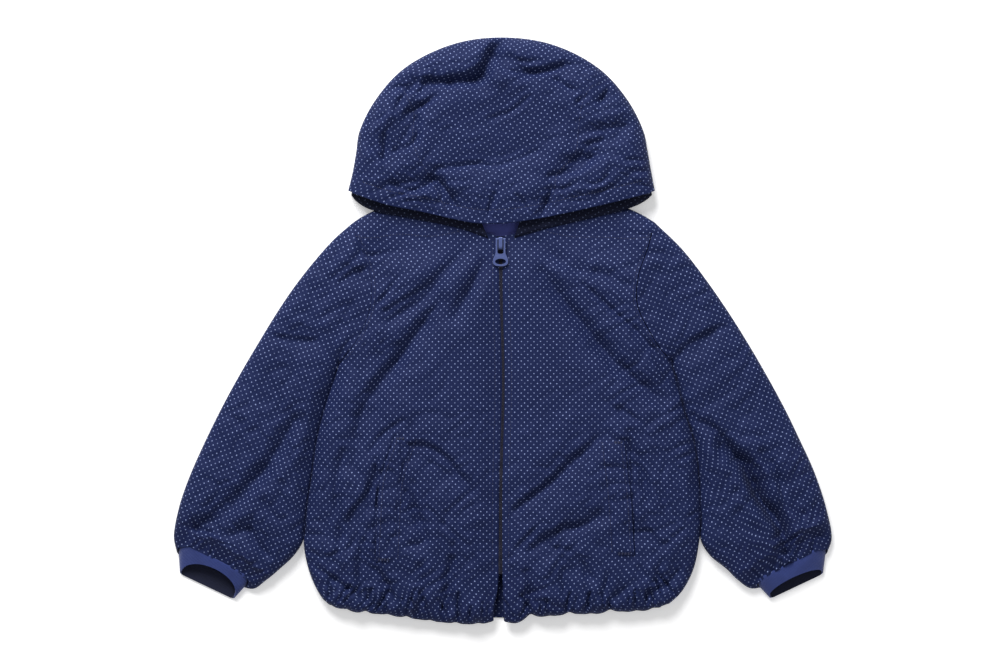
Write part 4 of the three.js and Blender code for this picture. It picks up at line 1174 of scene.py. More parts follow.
@dataclass(frozen=True)
class DottedCloth:
    """Navy shell cloth with a print of small pale dots on a square lattice."""

    name: str = "dotted shell cloth"
    ground: Colour = (0.0046, 0.0098, 0.05, 1)
    ground_light: Colour = (0.0098, 0.0172, 0.074, 1)
    dot: Colour = (0.25, 0.31, 0.54, 1)
    pitch: float = 0.00455
    lattice_turn: float = 45
    dot_radius: float = 0.00058
    dot_softness: float = 0.0002
    stray: float = 0.0018
    slub: float = 0.0013
    thread: float = 0.0004
    dot_strength: Point = (0.5, 1.2)
    worn_print: float = 0.8
    wear_size: float = 0.02
    cloud_size: float = 0.07
    slub_tone: float = 2.4
    crinkle_size: float = 0.009
    crinkle_height: float = 0.9
    thread_height: float = 0.03
    relief: float = 0.8
    roughness: float = 0.72
    sheen: float = 0.02
    sheen_roughness: float = 0.45
    specular: float = 0.14

    def dots(self, graph: Graph, uv: Socket) -> Socket:
        """The print: 1 on a dot and 0 off it, with each dot a little different."""
        noise = {"Vector": graph.scaled(uv, self.crinkle_size), "Scale": 1.0}
        stray = graph.add("ShaderNodeTexNoise", noise).outputs[1]
        stray = graph.join("SUBTRACT", stray, (0.5, 0.5, 0.5))
        amount = {0: stray, "Scale": self.stray}
        stray = graph.add("ShaderNodeVectorMath", amount, operation="SCALE").outputs[0]
        printed = graph.join("MULTIPLY", graph.join("ADD", uv, stray), (1, 1, 0))
        lattice = graph.scaled(printed, self.pitch, self.lattice_turn)
        middle = graph.join("SUBTRACT", graph.join("FRACTION", lattice), (0.5, 0.5, 0))
        out = graph.add("ShaderNodeVectorMath", {0: middle}, operation="LENGTH").outputs["Value"]
        radius, soft = self.dot_radius / self.pitch, self.dot_softness / self.pitch
        dot = graph.ranged(out, {"From Min": radius + soft, "From Max": radius - soft}, "SMOOTHSTEP")
        wear = graph.noise(graph.scaled(uv, self.wear_size))
        wear = graph.ranged(wear, {"From Min": 0.3, "From Max": 0.7, "To Min": self.worn_print})
        each = {"Vector": graph.join("FLOOR", lattice)}
        uneven = graph.add("ShaderNodeTexWhiteNoise", each).outputs["Value"]
        weakest, strongest = self.dot_strength
        uneven = graph.ranged(uneven, {"To Min": weakest, "To Max": strongest})
        return graph.sum("MULTIPLY", graph.sum("MULTIPLY", dot, wear), uneven)

    def make(self) -> Material:
        """Makes the material."""
        graph = Graph(self.name, self.roughness)
        graph.set(
            Sheen_Weight=self.sheen, Sheen_Roughness=self.sheen_roughness, Specular_IOR_Level=self.specular
        )
        uv = graph.uv()
        dot = self.dots(graph, uv)
        cloud = graph.noise(graph.scaled(uv, self.cloud_size), 3)
        slubs = graph.sum("SUBTRACT", graph.noise(graph.scaled(uv, self.slub), 1), 0.5)
        tone = graph.sum("ADD", cloud, graph.sum("MULTIPLY", slubs, self.slub_tone))
        ground = graph.blend(tone, self.ground, self.ground_light)
        graph.colour(graph.blend(dot, ground, self.dot))
        crinkle = graph.noise(graph.scaled(uv, self.crinkle_size), 3)
        crinkle = graph.sum("MULTIPLY", crinkle, self.crinkle_height)
        threads = graph.sum("MULTIPLY", graph.weave(uv, self.thread), self.thread_height)
        graph.relief(graph.sum("ADD", crinkle, threads), self.relief)
        return graph.material


@dataclass(frozen=True)
class KnitElastic:
    """Plain knit elastic: fine ribs that run from the sleeve to the mouth of the cuff."""

    name: str = "plain knit elastic"
    dark: Colour = (0.016, 0.028, 0.13, 1)
    light: Colour = (0.03, 0.05, 0.2, 1)
    rib: float = 0.0013
    rib_tone: float = 0.18
    rib_height: float = 0.12
    stitch_height: float = 0.05
    cloud_size: float = 0.009
    cloud_height: float = 0.3
    roughness: float = 0.85
    sheen: float = 0.25
    specular: float = 0.2

    def make(self) -> Material:
        """Makes the material."""
        graph = Graph(self.name, self.roughness)
        graph.set(Sheen_Weight=self.sheen, Specular_IOR_Level=self.specular)
        uv = graph.uv()
        turns = graph.scaled(uv, self.rib / (2 * math.pi))
        rib = graph.sum("SINE", graph.add("ShaderNodeSeparateXYZ", {0: turns}).outputs[0])
        stitches = graph.weave(uv, self.rib / 2)
        cloud = graph.noise(graph.scaled(uv, self.cloud_size), 3)
        tone = graph.sum("ADD", cloud, graph.sum("MULTIPLY", rib, self.rib_tone))
        graph.colour(graph.blend(tone, self.dark, self.light))
        ribs = graph.sum("MULTIPLY", rib, self.rib_height)
        height = graph.sum("ADD", ribs, graph.sum("MULTIPLY", stitches, self.stitch_height))
        graph.relief(graph.sum("ADD", height, graph.sum("MULTIPLY", cloud, self.cloud_height)))
        return graph.material


@dataclass(frozen=True)
class PlainWeave:
    """A plain woven band, such as zip tape or neck tape."""

    name: str
    dark: Colour
    light: Colour
    thread: float = 0.0006
    roughness: float = 0.75
    specular: float = 0.3
    weave_tone: float = 0.2
    weave_height: float = 0.06
    cloud_size: float = 0.006
    cloud_height: float = 0.2

    def make(self) -> Material:
        """Makes the material."""
        graph = Graph(self.name, self.roughness)
        graph.set(Specular_IOR_Level=self.specular)
        place = graph.place()
        weave = graph.weave(place, self.thread)
        cloud = graph.noise(graph.scaled(place, self.cloud_size), 3)
        tone = graph.sum("ADD", cloud, graph.sum("MULTIPLY", weave, self.weave_tone))
        graph.colour(graph.blend(tone, self.dark, self.light))
        threads = graph.sum("MULTIPLY", weave, self.weave_height)
        graph.relief(graph.sum("ADD", threads, graph.sum("MULTIPLY", cloud, self.cloud_height)))
        return graph.material


@dataclass(frozen=True)
class Enamel:
    """Satin blue enamel on cast metal, slightly uneven."""

    name: str = "satin blue enamel"
    deep: Colour = (0.045, 0.065, 0.2, 1)
    pale: Colour = (0.085, 0.12, 0.31, 1)
    shaded: Colour = (0.008, 0.012, 0.045, 1)
    roughness: float = 0.36
    shade_below: float = 0.0
    shade_fade: float = 0.0015
    metallic: float = 0.25
    coat: float = 0.35
    coat_roughness: float = 0.25
    mottle_size: float = 0.002
    peel_size: float = 0.0007
    peel_height: float = 0.05
    relief: float = 0.5
    smoother: float = 0.08
    rougher: float = 0.12

    def make(self) -> Material:
        """Makes the material."""
        graph = Graph(self.name, self.roughness)
        graph.set(Metallic=self.metallic, Coat_Weight=self.coat, Coat_Roughness=self.coat_roughness)
        place = graph.place()
        tone = graph.blend(graph.noise(graph.scaled(place, self.mottle_size), 2), self.deep, self.pale)
        if self.shade_below:
            level = graph.add("ShaderNodeSeparateXYZ", {0: place}).outputs[2]
            reach = {"From Min": self.shade_below - self.shade_fade, "From Max": self.shade_below}
            tone = graph.blend(graph.ranged(level, reach), self.shaded, tone)
        graph.colour(tone)
        peel = graph.noise(graph.scaled(place, self.peel_size), 2)
        graph.relief(graph.sum("MULTIPLY", peel, self.peel_height), self.relief)
        wear = {"To Min": self.roughness - self.smoother, "To Max": self.roughness + self.rougher}
        graph.tree.links.new(graph.ranged(peel, wear), graph.shader.inputs["Roughness"])
        return graph.material


@dataclass(frozen=True)
class Thread:
    """Twisted sewing thread in the cloth's own navy."""

    name: str = "navy sewing thread"
    dark: Colour = (0.007, 0.011, 0.045, 1)
    light: Colour = (0.014, 0.02, 0.075, 1)
    twist: float = 0.0005
    twist_height: float = 0.05
    fleck_size: float = 0.001
    roughness: float = 0.6

    def make(self) -> Material:
        """Makes the material."""
        graph = Graph(self.name, self.roughness)
        place = graph.place()
        twist = graph.weave(place, self.twist)
        flecks = graph.noise(graph.scaled(place, self.fleck_size))
        graph.colour(graph.blend(flecks, self.dark, self.light))
        graph.relief(graph.sum("MULTIPLY", twist, self.twist_height))
        return graph.material


@dataclass(frozen=True)
class PaleFloor:
    """The plain pale surface that the jacket lies on."""

    name: str = "pale floor"
    glow: float = 0.3
    tone: Colour = (0.93, 0.93, 0.935, 1)
    darkest: float = 0.985
    cloud_size: float = 0.5
    roughness: float = 0.9
    specular: float = 0.05

    def make(self) -> Material:
        """Makes the material."""
        graph = Graph(self.name, self.roughness)
        graph.set(Specular_IOR_Level=self.specular, Emission_Color=(1, 1, 1, 1), Emission_Strength=self.glow)
        darker = tuple(self.darkest * c for c in self.tone[:3]) + (1,)
        cloud = graph.noise(graph.scaled(graph.place(), self.cloud_size))
        graph.colour(graph.blend(cloud, self.tone, darker))
        return graph.material


# The jacket's pieces


@dataclass
class Workroom:
    """What every piece is made with: forms, cloth maps and finishes."""

    halves: tuple[Half, Half]
    body: GarmentForm
    hood: HoodForm
    body_cloth: ClothMap
    hood_cloth: ClothMap
    sleeve_cloth: dict[str, ClothMap]
    shell: Material
    # A darker copy of the shell cloth: painted shade for the hood's lower front stretches under the brim
    shell_inside: Material
    knit: Material
    # A darker copy of the knit: painted shade on the inner faces of the cuffs
    knit_inside: Material
    tape: Material
    # The neck tape's own blue, made lighter as painted light against the shade of the hood's mouth
    neck_band: Material
    enamel: Material
    slider_enamel: Material
    thread: Material
    chain: Material

    @classmethod
    def opened(cls) -> Workroom:
        """Lays out the forms and mixes the finishes."""
        halves = (Half(LEFT_HALF), Half(RIGHT_HALF))
        body = GarmentForm(halves)
        hood = HoodForm()
        return cls(
            halves=halves,
            body=body,
            hood=hood,
            body_cloth=ClothMap(body.top, (-204, -294), (204, 140)),
            hood_cloth=ClothMap(hood.top, (-158, 100), (158, 297), -9.5),
            sleeve_cloth={
                "left": ClothMap(body.top, (-334, -270), (-130, 112), -24),
                "right": ClothMap(body.top, (130, -270), (334, 112), 24),
            },
            shell=DottedCloth().make(),
            # Painted shade: the shell cloth darkened for where the brim shades it
            shell_inside=DottedCloth(
                "shell cloth with painted shade",
                ground=(0.0026, 0.0042, 0.017, 1),
                ground_light=(0.0046, 0.0072, 0.027, 1),
                dot=(0.08, 0.1, 0.18, 1),
            ).make(),
            knit=KnitElastic().make(),
            # Painted shade: the knit darkened for inside the cuff mouths
            knit_inside=KnitElastic(
                "knit with painted shade",
                dark=(0.004, 0.006, 0.02, 1),
                light=(0.009, 0.012, 0.04, 1),
            ).make(),
            tape=PlainWeave(
                "dark zip tape",
                dark=(0.005, 0.006, 0.016, 1),
                light=(0.018, 0.016, 0.03, 1),
            ).make(),
            # The tape's blue plus painted light, lighter than it is, for inside the hood's shaded mouth
            neck_band=PlainWeave(
                "plain neck tape with painted light",
                dark=(0.058, 0.072, 0.31, 1),
                light=(0.078, 0.094, 0.37, 1),
                thread=0.0009,
            ).make(),
            enamel=Enamel().make(),
            slider_enamel=Enamel("blue enamel, dark low down", shade_below=0.0172).make(),
            thread=Thread().make(),
            chain=PlainWeave(
                "dark nylon coil",
                dark=(0.004, 0.005, 0.018, 1),
                light=(0.01, 0.012, 0.04, 1),
                thread=0.001,
                roughness=0.45,
            ).make(),
        )


@dataclass
class FrontPanel:
    """One front: from the turned-under side to the zip, and from the hem to the yoke seam."""

    half: Half
    room: Workroom
    side_share: float = 0.66
    yoke_share: float = 0.072
    seam_share: float = 0.74
    under: float = 7
    zip_gap: float = 0.95
    zip_top: float = 96
    zip_bottom: float = -243
    slit_foot: float = -288
    slit: Point = (4.5, 1)
    turned_in: float = 1.5
    armpit: float = -31
    columns: int = 104
    side_rows: int = 150
    arm_rows: int = 66

    def row_edge(self, r: Array) -> Array:
        """Where each row starts: up the side, then up the armhole."""
        half = self.half
        side = half.side.at(r / self.side_share)
        up = np.clip((r - self.side_share) / (1 - self.side_share), 0, 1) * (1 - self.yoke_share)
        return np.where((r <= self.side_share)[..., None], side, half.armhole.at(up))

    def zip_edge(self, y: Array) -> Array:
        """Plan x of the folded edge beside the zip."""
        opened = smoothstep(self.zip_bottom, self.slit_foot, y)
        middle = self.room.body.zip_line(y)
        if self.half.sign > 0:
            return middle - self.zip_gap - self.slit[0] * opened
        return middle + self.zip_gap + self.slit[1] * opened

    def zip_point(self, r: Array) -> Array:
        """Where each row ends, at the zip."""
        first, last = self.row_edge(np.zeros(1))[0, 1], self.row_edge(np.ones(1))[0, 1]
        y = self.row_edge(r)[..., 1]
        hem_end = self.half.hem.at(1.0)[1]
        below = mix(hem_end, self.armpit, (y - first) / (self.armpit - first))
        above = mix(self.armpit, self.zip_top, (y - self.armpit) / (last - self.armpit))
        y = np.where(y < self.armpit, below, above)
        return np.stack([self.zip_edge(y), y], axis=-1)

    def top_edge(self, s: Array) -> Array:
        """The yoke seam and the neckline, from the armhole to the zip."""
        seam = self.half.yoke_seam.at(s / self.seam_share)
        neck = self.half.neckline.at((s - self.seam_share) / (1 - self.seam_share))
        return np.where((s < self.seam_share)[..., None], seam, neck)

    def plan(self, s: Array, r: Array) -> Array:
        """Plan point at column share s and row share r."""
        def straight(row: Array) -> Array:
            return mix(self.row_edge(row), self.zip_point(row), s[..., None])

        zeros, ones = np.zeros_like(r), np.ones_like(r)
        top = np.where((s == 0)[..., None], self.row_edge(ones), self.top_edge(s))
        near_hem, near_top = ((1 - r) ** 2)[..., None], (r**6)[..., None]
        low = near_hem * (self.half.hem.at(s) - straight(zeros))
        return straight(r) + low + near_top * (top - straight(ones))

    def place(self, s: Array, r: Array) -> Placed:
        """Place of each vertex of the front."""
        point = self.plan(s, r)
        x, y = point[..., 0], point[..., 1]
        form = self.room.body
        z = np.where((s == 0) | (r == 0), form.edge_height(y), form.top(x, y))
        to_zip = np.abs(x - self.zip_edge(y))
        return x, y, z - self.turned_in * bell(to_zip, 1.5) * (r > 0)

    def place_roll(self, turn: Array, r: Array) -> Placed:
        """Place of each vertex of the turned-under side."""
        edge = self.row_edge(r)
        inward = self.half.side.inward(r / self.side_share, -self.half.sign)
        return turned_under(edge, inward, self.room.body.edge_height(edge[..., 1]), self.under, turn)

    def build(self) -> Object:
        columns = np.concatenate([[0, 0.0008, 0.0025], eased(self.columns)[1:]])
        rows = np.concatenate([
            np.linspace(0, self.side_share, self.side_rows + 1),
            np.linspace(self.side_share, 1, self.arm_rows + 1)[1:],
        ])
        side = rows[rows <= self.side_share + 1e-9]
        patches = [
            Patch(columns, rows, self.place),
            Patch(np.linspace(1, 0, 7), side, self.place_roll),
        ]
        name = self.half.name
        room = self.room
        piece = cloth_piece(f"front_panel_{name}", patches, room.shell, room.body_cloth)
        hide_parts(f"front_{name}")
        return piece


@dataclass
class Yoke:
    """The back's stretch that comes forward over the shoulder to its seam."""

    half: Half
    room: Workroom
    under: float = 7
    edge: float = 7
    yoke_share: float = 0.072

    def at_armhole(self, t: Array) -> Array:
        """The yoke's end at the armhole, from its seam to the shoulder."""
        return self.half.armhole.at(1 - self.yoke_share * (1 - t))

    def plan(self, s: Array, t: Array) -> Array:
        """Plan point at share s along the shoulder and share t from the seam to the edge."""
        half, zero, one = self.half, np.zeros_like(t), np.ones_like(t)

        def straight(row: Array) -> Array:
            return mix(self.at_armhole(row), half.yoke_neck.at(row), s[..., None])

        first = (s == 0)[..., None]
        seam = np.where(first, self.at_armhole(zero), half.yoke_seam.at(s))
        edge = np.where(first, self.at_armhole(one), half.shoulder.at(1 - s))
        t1 = t[..., None]
        return straight(t) + (1 - t1) * (seam - straight(zero)) + t1 * (edge - straight(one))

    def place(self, s: Array, b: Array) -> Placed:
        """Place of each vertex: b is 0 at the seam, 1 at the shoulder and 2 on the floor."""
        t = np.minimum(b, 1)
        point = self.plan(s, t)
        inward = self.half.shoulder.inward(1 - s, self.half.sign)
        rolled = turned_under(point, inward, self.edge, self.under, np.maximum(b - 1, 0))
        z = self.room.body.top(point[..., 0], point[..., 1])
        on_top = b < 1
        return (
            np.where(on_top, point[..., 0], rolled[0]),
            np.where(on_top, point[..., 1], rolled[1]),
            np.where(on_top, z, rolled[2]),
        )

    def build(self) -> Object:
        rows = np.concatenate([eased(22), 1 + even(7)[1:]])
        name, room = self.half.name, self.room
        patch = Patch(even(70), rows, self.place)
        piece = cloth_piece(f"shoulder_yoke_{name}", [patch], room.shell, room.body_cloth)
        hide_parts(f"yoke_{name}")
        return piece


@dataclass
class Sleeve:
    """A sleeve: a tube laid flat, rolled at both sides, drawn in at the wrist."""

    half: Half
    room: Workroom
    edge: float = 7
    under: float = 7
    cuff_edge: float = 5.5
    cuff_top: float = 12.5
    under_tilt: float = 0.56
    stations: int = 190
    top_columns: int = 86
    under_columns: int = 26

    def plan(self, v: Array, a: Array) -> Array:
        """Plan point at share v down the sleeve and share a from its outer to its inner edge."""
        half = self.half
        chord = mix(half.sleeve_outer.at(v), half.sleeve_inner.at(v), a[..., None])
        straight = mix(half.armhole.at(1.0), half.armhole.at(0.0), a[..., None])
        by_armpit = smoothstep(0.8, 1, a) * smoothstep(0, 0.03, v)
        near = np.maximum(0, 1 - v / 0.35) ** 2 * (1 - by_armpit)
        return chord + near[..., None] * (half.armhole.at(1 - a) - straight)

    def shift(self, amount: Array, z: Array) -> Array:
        """How far the open end leans back, so that its mouth shows from above."""
        lean = self.half.outline.wrist_tilt * (z - self.cuff_edge) / (self.cuff_top - self.cuff_edge)
        back = np.where(z > self.cuff_edge, -lean, self.under_tilt * (self.cuff_edge - z))
        return (amount * back)[..., None] * self.half.wrist_axis

    def ring(self, a: Array, length: Array, edge: float, under: float) -> tuple[Array, Array]:
        """Shares and heights round the tube; a is 0 to 1 on top and 1 to 4 round below."""
        angle = np.where(a <= 2, a - 1, 4 - a) * math.pi / 2
        travel = under * (1 - np.cos(angle)) / length
        flat = mix(1 - under / length, under / length, a - 2)
        share = np.select([a <= 1, a <= 2, a <= 3], [a, 1 - travel, flat], travel)
        rolled = edge * (1 - np.sin(angle))
        height = np.select([a <= 1, a <= 2, a <= 3], [edge + 0 * a, rolled, 0 * a], rolled)
        return share, height

    def place(self, a: Array, v: Array) -> Placed:
        """Place of each vertex of the sleeve."""
        ends = self.plan(v, np.ones_like(v)) - self.plan(v, np.zeros_like(v))
        share, z = self.ring(a, np.linalg.norm(ends, axis=-1), self.edge, self.under)
        point = self.plan(v, share)
        top = (a > 0) & (a < 1)
        z[top] = self.room.body.top(point[top, 0], point[top, 1])
        point = point + self.shift(smoothstep(0.86, 1, v), z)
        return point[..., 0], point[..., 1], z

    def build(self) -> Object:
        columns = np.concatenate([
            [0, 0.0012, 0.004],
            eased(self.top_columns)[1:-1],
            [0.996, 0.9988, 1],
            1 + even(6)[1:],
            2 + np.linspace(0, 1, self.under_columns)[1:],
            3 + even(6)[1:],
        ])
        name, room = self.half.name, self.room
        patch = Patch(columns, even(self.stations), self.place)
        cloth = room.sleeve_cloth[name]
        piece = cloth_piece(f"sleeve_tube_{name}", [patch], room.shell, cloth)
        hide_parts(f"sleeve_{name}")
        return piece


@dataclass
class Cuff:
    """A cuff: a short band of knit elastic whose mouth shows from above."""

    sleeve: Sleeve
    edge: float = 4.0
    full: float = 12.5
    under: float = 4
    ease: float = 0.01
    tucked: float = 3.0
    corner: float = 34
    bulge: float = 0.35
    seam_dip: float = 0.8
    dip_reach: float = 0.16

    def plan(self, v: Array, a: Array) -> Array:
        """Plan point at share v from the seam to the mouth and share a across."""
        half = self.sleeve.half
        outer, inner = (end - half.wrist_axis * self.tucked for end in half.wrist)
        seam = mix(outer, inner, mix(self.ease, 1 - self.ease, a)[..., None])
        mouth = mix(*(np.array(end) for end in half.outline.cuff_mouth), a[..., None])
        return mix(seam, mouth, v[..., None])

    def place(self, a: Array, v: Array) -> Placed:
        """Place of each vertex of the cuff."""
        ends = self.plan(v, np.ones_like(v)) - self.plan(v, np.zeros_like(v))
        length = np.linalg.norm(ends, axis=-1)
        share, z = self.sleeve.ring(a, length, self.edge, self.under)
        point = self.plan(v, share)
        top = (a > 0) & (a < 1)
        inside = np.minimum(share, 1 - share) * length
        crown = mix(self.edge, self.full, rise(inside, mix(self.full, self.corner, v)))
        crown = crown + self.bulge * np.sin(math.pi * np.clip(v, 0, 1))
        z = np.where(top, crown - self.seam_dip * (1 - smoothstep(0, self.dip_reach, v)), z)
        open_by = 1 + self.sleeve.half.outline.mouth_slant * np.where(z > self.edge, v, 0)
        point = point + self.sleeve.shift(open_by, z)
        return point[..., 0], point[..., 1], z

    def build(self) -> Object:
        columns = np.concatenate([
            eased(48), 1 + even(8)[1:], 2 + even(20)[1:],
            3 + even(8)[1:],
        ])
        name, room = self.sleeve.half.name, self.sleeve.room
        patch = Patch(columns, even(18), self.place)
        turned = ClothMap(lambda x, y: x * 0, (-1, -1), (1, 1), 24 * -self.sleeve.half.sign)
        # The knit's inner faces take the darker copy, painted shade inside the mouth
        piece = cloth_piece(
            f"knit_cuff_{name}", [patch], room.knit, turned, wall=1.5, inside=room.knit_inside)
        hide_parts(f"cuff_{name}")
        return piece


@dataclass
class Hood:
    """The three hood panels, from the turned hem of the brim over the crown and back under."""

    room: Workroom
    under: float = 9
    hem_roll: float = 1.0
    hem_sag: float = 0.2
    gap: float = 0.0003
    lip_roll: float = 0.9
    lip_height: float = 13.1
    lip_end_height: float = 4.2
    lip_rise: float = 1.6
    lip_ripple: float = 0.5

    def sub_line(self, line: Line, start: float, end: float) -> Line:
        """A stretch of a curve."""
        return Line(line.at(np.linspace(start, end, 30)), 4)

    def panel(self, k: int, name: str, columns: int) -> Object:
        """Args:
            k: Which panel, from the wearer's right.
            name: Its place.
            columns: Grid columns.

        Returns:
            The panel.
        """
        form = self.room.hood
        brim = self.sub_line(form.brim, form.brim_shares[k], form.brim_shares[k + 1])
        rim = self.sub_line(form.rim, form.rim_shares[k], form.rim_shares[k + 1])
        neck = self.sub_line(form.neck, form.neck_shares[k], form.neck_shares[k + 1])
        left, right = form.seams[k], form.seams[k + 1]

        def place(a: Array, b: Array) -> Placed:
            a = mix(self.gap, 1 - self.gap, a)
            point = coons(a, np.clip(b, 0, 1), brim, rim, left, right)
            rim_point, neck_point = rim.at(a), neck.at(a)
            span = np.linalg.norm(neck_point - rim_point, axis=-1)[..., None]
            inward = (neck_point - rim_point) / span
            reach = np.minimum(self.under, span[..., 0] * 0.45)
            rolled = turned_under(rim_point, inward, form.edge, reach, np.clip(b - 1, 0, 1))
            start = rim_point + inward * reach[..., None]
            floor = mix(start, neck_point, np.clip(b - 2, 0, 1)[..., None])
            out = -brim.inward(a, 1)
            turn = np.clip(-b, 0, 1) * math.pi
            inside = np.clip(-b - 1, 0, 1) * form.hem_depth
            start = coons(a, np.zeros_like(a), brim, rim, left, right)
            fold = start + out * (self.hem_roll * np.sin(turn) - inside)[..., None]
            anchor = start - out * inside[..., None]
            brim_z = form.top(anchor[..., 0], anchor[..., 1]) - self.hem_roll * (1 - np.cos(turn))
            brim_z = brim_z - self.hem_sag * inside / form.hem_depth
            parts = [b < 0, b < 1, b <= 2]
            x = np.select(parts, [fold[..., 0], point[..., 0], rolled[0]], floor[..., 0])
            y = np.select(parts, [fold[..., 1], point[..., 1], rolled[1]], floor[..., 1])
            z = np.select(parts, [brim_z, form.top(point[..., 0], point[..., 1]), rolled[2]], 0.0)
            return x, y, z

        rows = np.concatenate([
            -1 - np.linspace(1, 0, 8)[:-1],
            -np.linspace(1, 0, 7)[:-1],
            eased(118),
            1 + even(8)[1:],
            2 + even(25)[1:],
        ])
        patch = Patch(eased(columns, 0.3), rows, place)
        piece = cloth_piece(f"hood_panel_{name}", [patch], self.room.shell, self.room.hood_cloth)
        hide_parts(f"hood_{name}")
        return piece

    def lip(self, half: Half) -> Object:
        """Builds the lower front stretch of a side panel, which lies over the neck."""
        def place(s: Array, t: Array) -> Placed:
            fold, inner = half.lip_fold.at(s), half.lip_inner.at(s)
            width = np.linalg.norm(inner - fold, axis=-1)
            inside = np.clip(t, 0, 1)
            point = mix(fold, inner, inside[..., None])
            turn = np.clip(-t, 0, 1) * math.pi
            out = (fold - inner) / width[..., None]
            point = point + out * (self.lip_roll * np.sin(turn))[..., None]
            base = mix(self.lip_height, self.lip_end_height, smoothstep(0.78, 1, s))
            ripple = self.lip_ripple * np.sin(s * 23) * np.exp(-((inside - 0.4) ** 2) * 6)
            z = base + self.lip_rise * rise(inside * width, 9) + ripple * inside
            return point[..., 0], point[..., 1], z - self.lip_roll * (1 - np.cos(turn))

        rows = np.concatenate([-np.linspace(1, 0, 7)[:-1], eased(16)])
        patch = Patch(even(120), rows, place)
        # The stretch takes the darker copy of the shell cloth, painted shade under the brim
        piece = cloth_piece(
            f"hood_front_{half.name}", [patch], self.room.shell_inside, self.room.hood_cloth)
        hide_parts(f"hood_lip_{half.name}")
        return piece

    def build(self) -> list[Object]:
        """Builds the panels and the two lower front stretches."""
        return [
            self.panel(0, "left", 84),
            self.panel(1, "centre", 130),
            self.panel(2, "right", 84),
            *[self.lip(half) for half in self.room.halves],
        ]


@dataclass
class BackPanel:
    """The back, flat on the floor, with its hem casing and the tape of its neck seam."""

    room: Workroom
    set_in: float = 7.3
    hem_set_in: float = 3
    casing: float = 20
    tape: float = 17
    neck_reach: float = 66
    tape_reach: float = 48
    height: float = 0.75
    casing_height: float = 2.0
    tape_height: float = 7.2

    def edge_of(self, half: Half) -> list[Point]:
        """The back's outline from the hem up one side and its armhole to the shoulder."""
        shares = np.linspace(0, 0.985, 22)
        side = half.side.at(shares) + half.side.inward(shares, -half.sign) * self.set_in
        side[:, 1] += self.hem_set_in
        arm = half.armhole.at(np.linspace(0.06, 0.93, 14))
        arm[:, 0] += half.sign * 0.5
        return [*map(tuple, side), *map(tuple, arm)]

    def top_edge(self) -> Line:
        """The shoulders and the neckline, from the wearer's right to left."""
        points: list[Point] = []
        for half in self.room.halves:
            shares = np.linspace(0.93, 0.05, 8)
            shoulder = half.shoulder.at(shares) + half.shoulder.inward(shares, half.sign) * self.set_in
            row = [*map(tuple, shoulder)]
            if half.sign > 0:
                neck = self.room.hood.neck.sampled(60)
                points += row + [(x, y - 0.4) for x, y in neck if abs(x) < self.neck_reach]
            else:
                points += row[::-1]
        return Line(points, 6)

    def strip(
        self,
        name: str,
        node: str,
        low: Line,
        high: Line,
        height: float,
        material: Material,
    ) -> Object:
        """Builds a narrow band that lies on the back, between two curves.

        Args:
            name: The band's name.
            node: The node of the frame that it replaces.
            low: Its lower edge.
            high: Its upper edge.
            height: How high its edges lie.
            material: Its finish.

        Returns:
            The band.
        """
        def place(a: Array, b: Array) -> Placed:
            point = mix(low.at(a), high.at(a), b[..., None])
            uneven = 0.15 * blotches(point[..., 0], point[..., 1], (7, 7), 51)
            return point[..., 0], point[..., 1], height + 0.35 * np.sin(math.pi * b) + uneven

        patch = Patch(even(140), even(8), place)
        piece = cloth_piece(name, [patch], material, None, wall=0.8)
        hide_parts(node)
        depth = (high.at(0.5) - low.at(0.5))[1]
        return piece

    def build(self) -> list[Object]:
        """Builds the back, its casing and the neck tape."""
        right, left = (Line(self.edge_of(half), 4) for half in self.room.halves)
        top = self.top_edge()
        first, second = self.room.halves
        shares = np.linspace(0.04, 0.97, 60)
        hem = np.vstack([first.hem.at(shares), second.hem.at(np.linspace(0.97, 0.04, 60))])
        hem_line = Line(hem + [0, self.hem_set_in], 3)
        low = Line([tuple(right.at(0.0)), *map(tuple, hem_line.sampled(80)), tuple(left.at(0.0))], 3)
        sides = [
            Line([*map(tuple, edge.sampled(60)), tuple(top.at(end))], 3)
            for end, edge in ((0.0, right), (1.0, left))
        ]

        def place(a: Array, b: Array) -> Placed:
            point = coons(a, b, low, top, *sides)
            return point[..., 0], point[..., 1], self.height + 0 * a

        patch = Patch(even(160), even(170), place)
        piece = cloth_piece("back_panel", [patch], self.room.shell, None)
        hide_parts("back")
        casing_low = Line(hem[4:-4] + [0, self.hem_set_in + 1], 3)
        casing_high = Line(hem[4:-4] + [0, self.casing], 3)
        casing = self.strip(
            "back_hem_casing", "hem_casing_back", casing_low, casing_high, self.casing_height,
            self.room.shell,
        )
        neck = np.array([p for p in self.room.hood.neck.sampled(80) if abs(p[0]) < self.tape_reach])
        tape_low = Line(neck * [0.97, 1] - [0, self.tape], 4)
        tape_high = Line(neck - [0, 0.6], 4)
        # The tape's finish is its own blue with painted light, against the shade of the hood's mouth
        tape = self.strip(
            "back_neck_tape", "neck_tape", tape_low, tape_high, self.tape_height,
            self.room.neck_band,
        )
        return [piece, casing, tape]


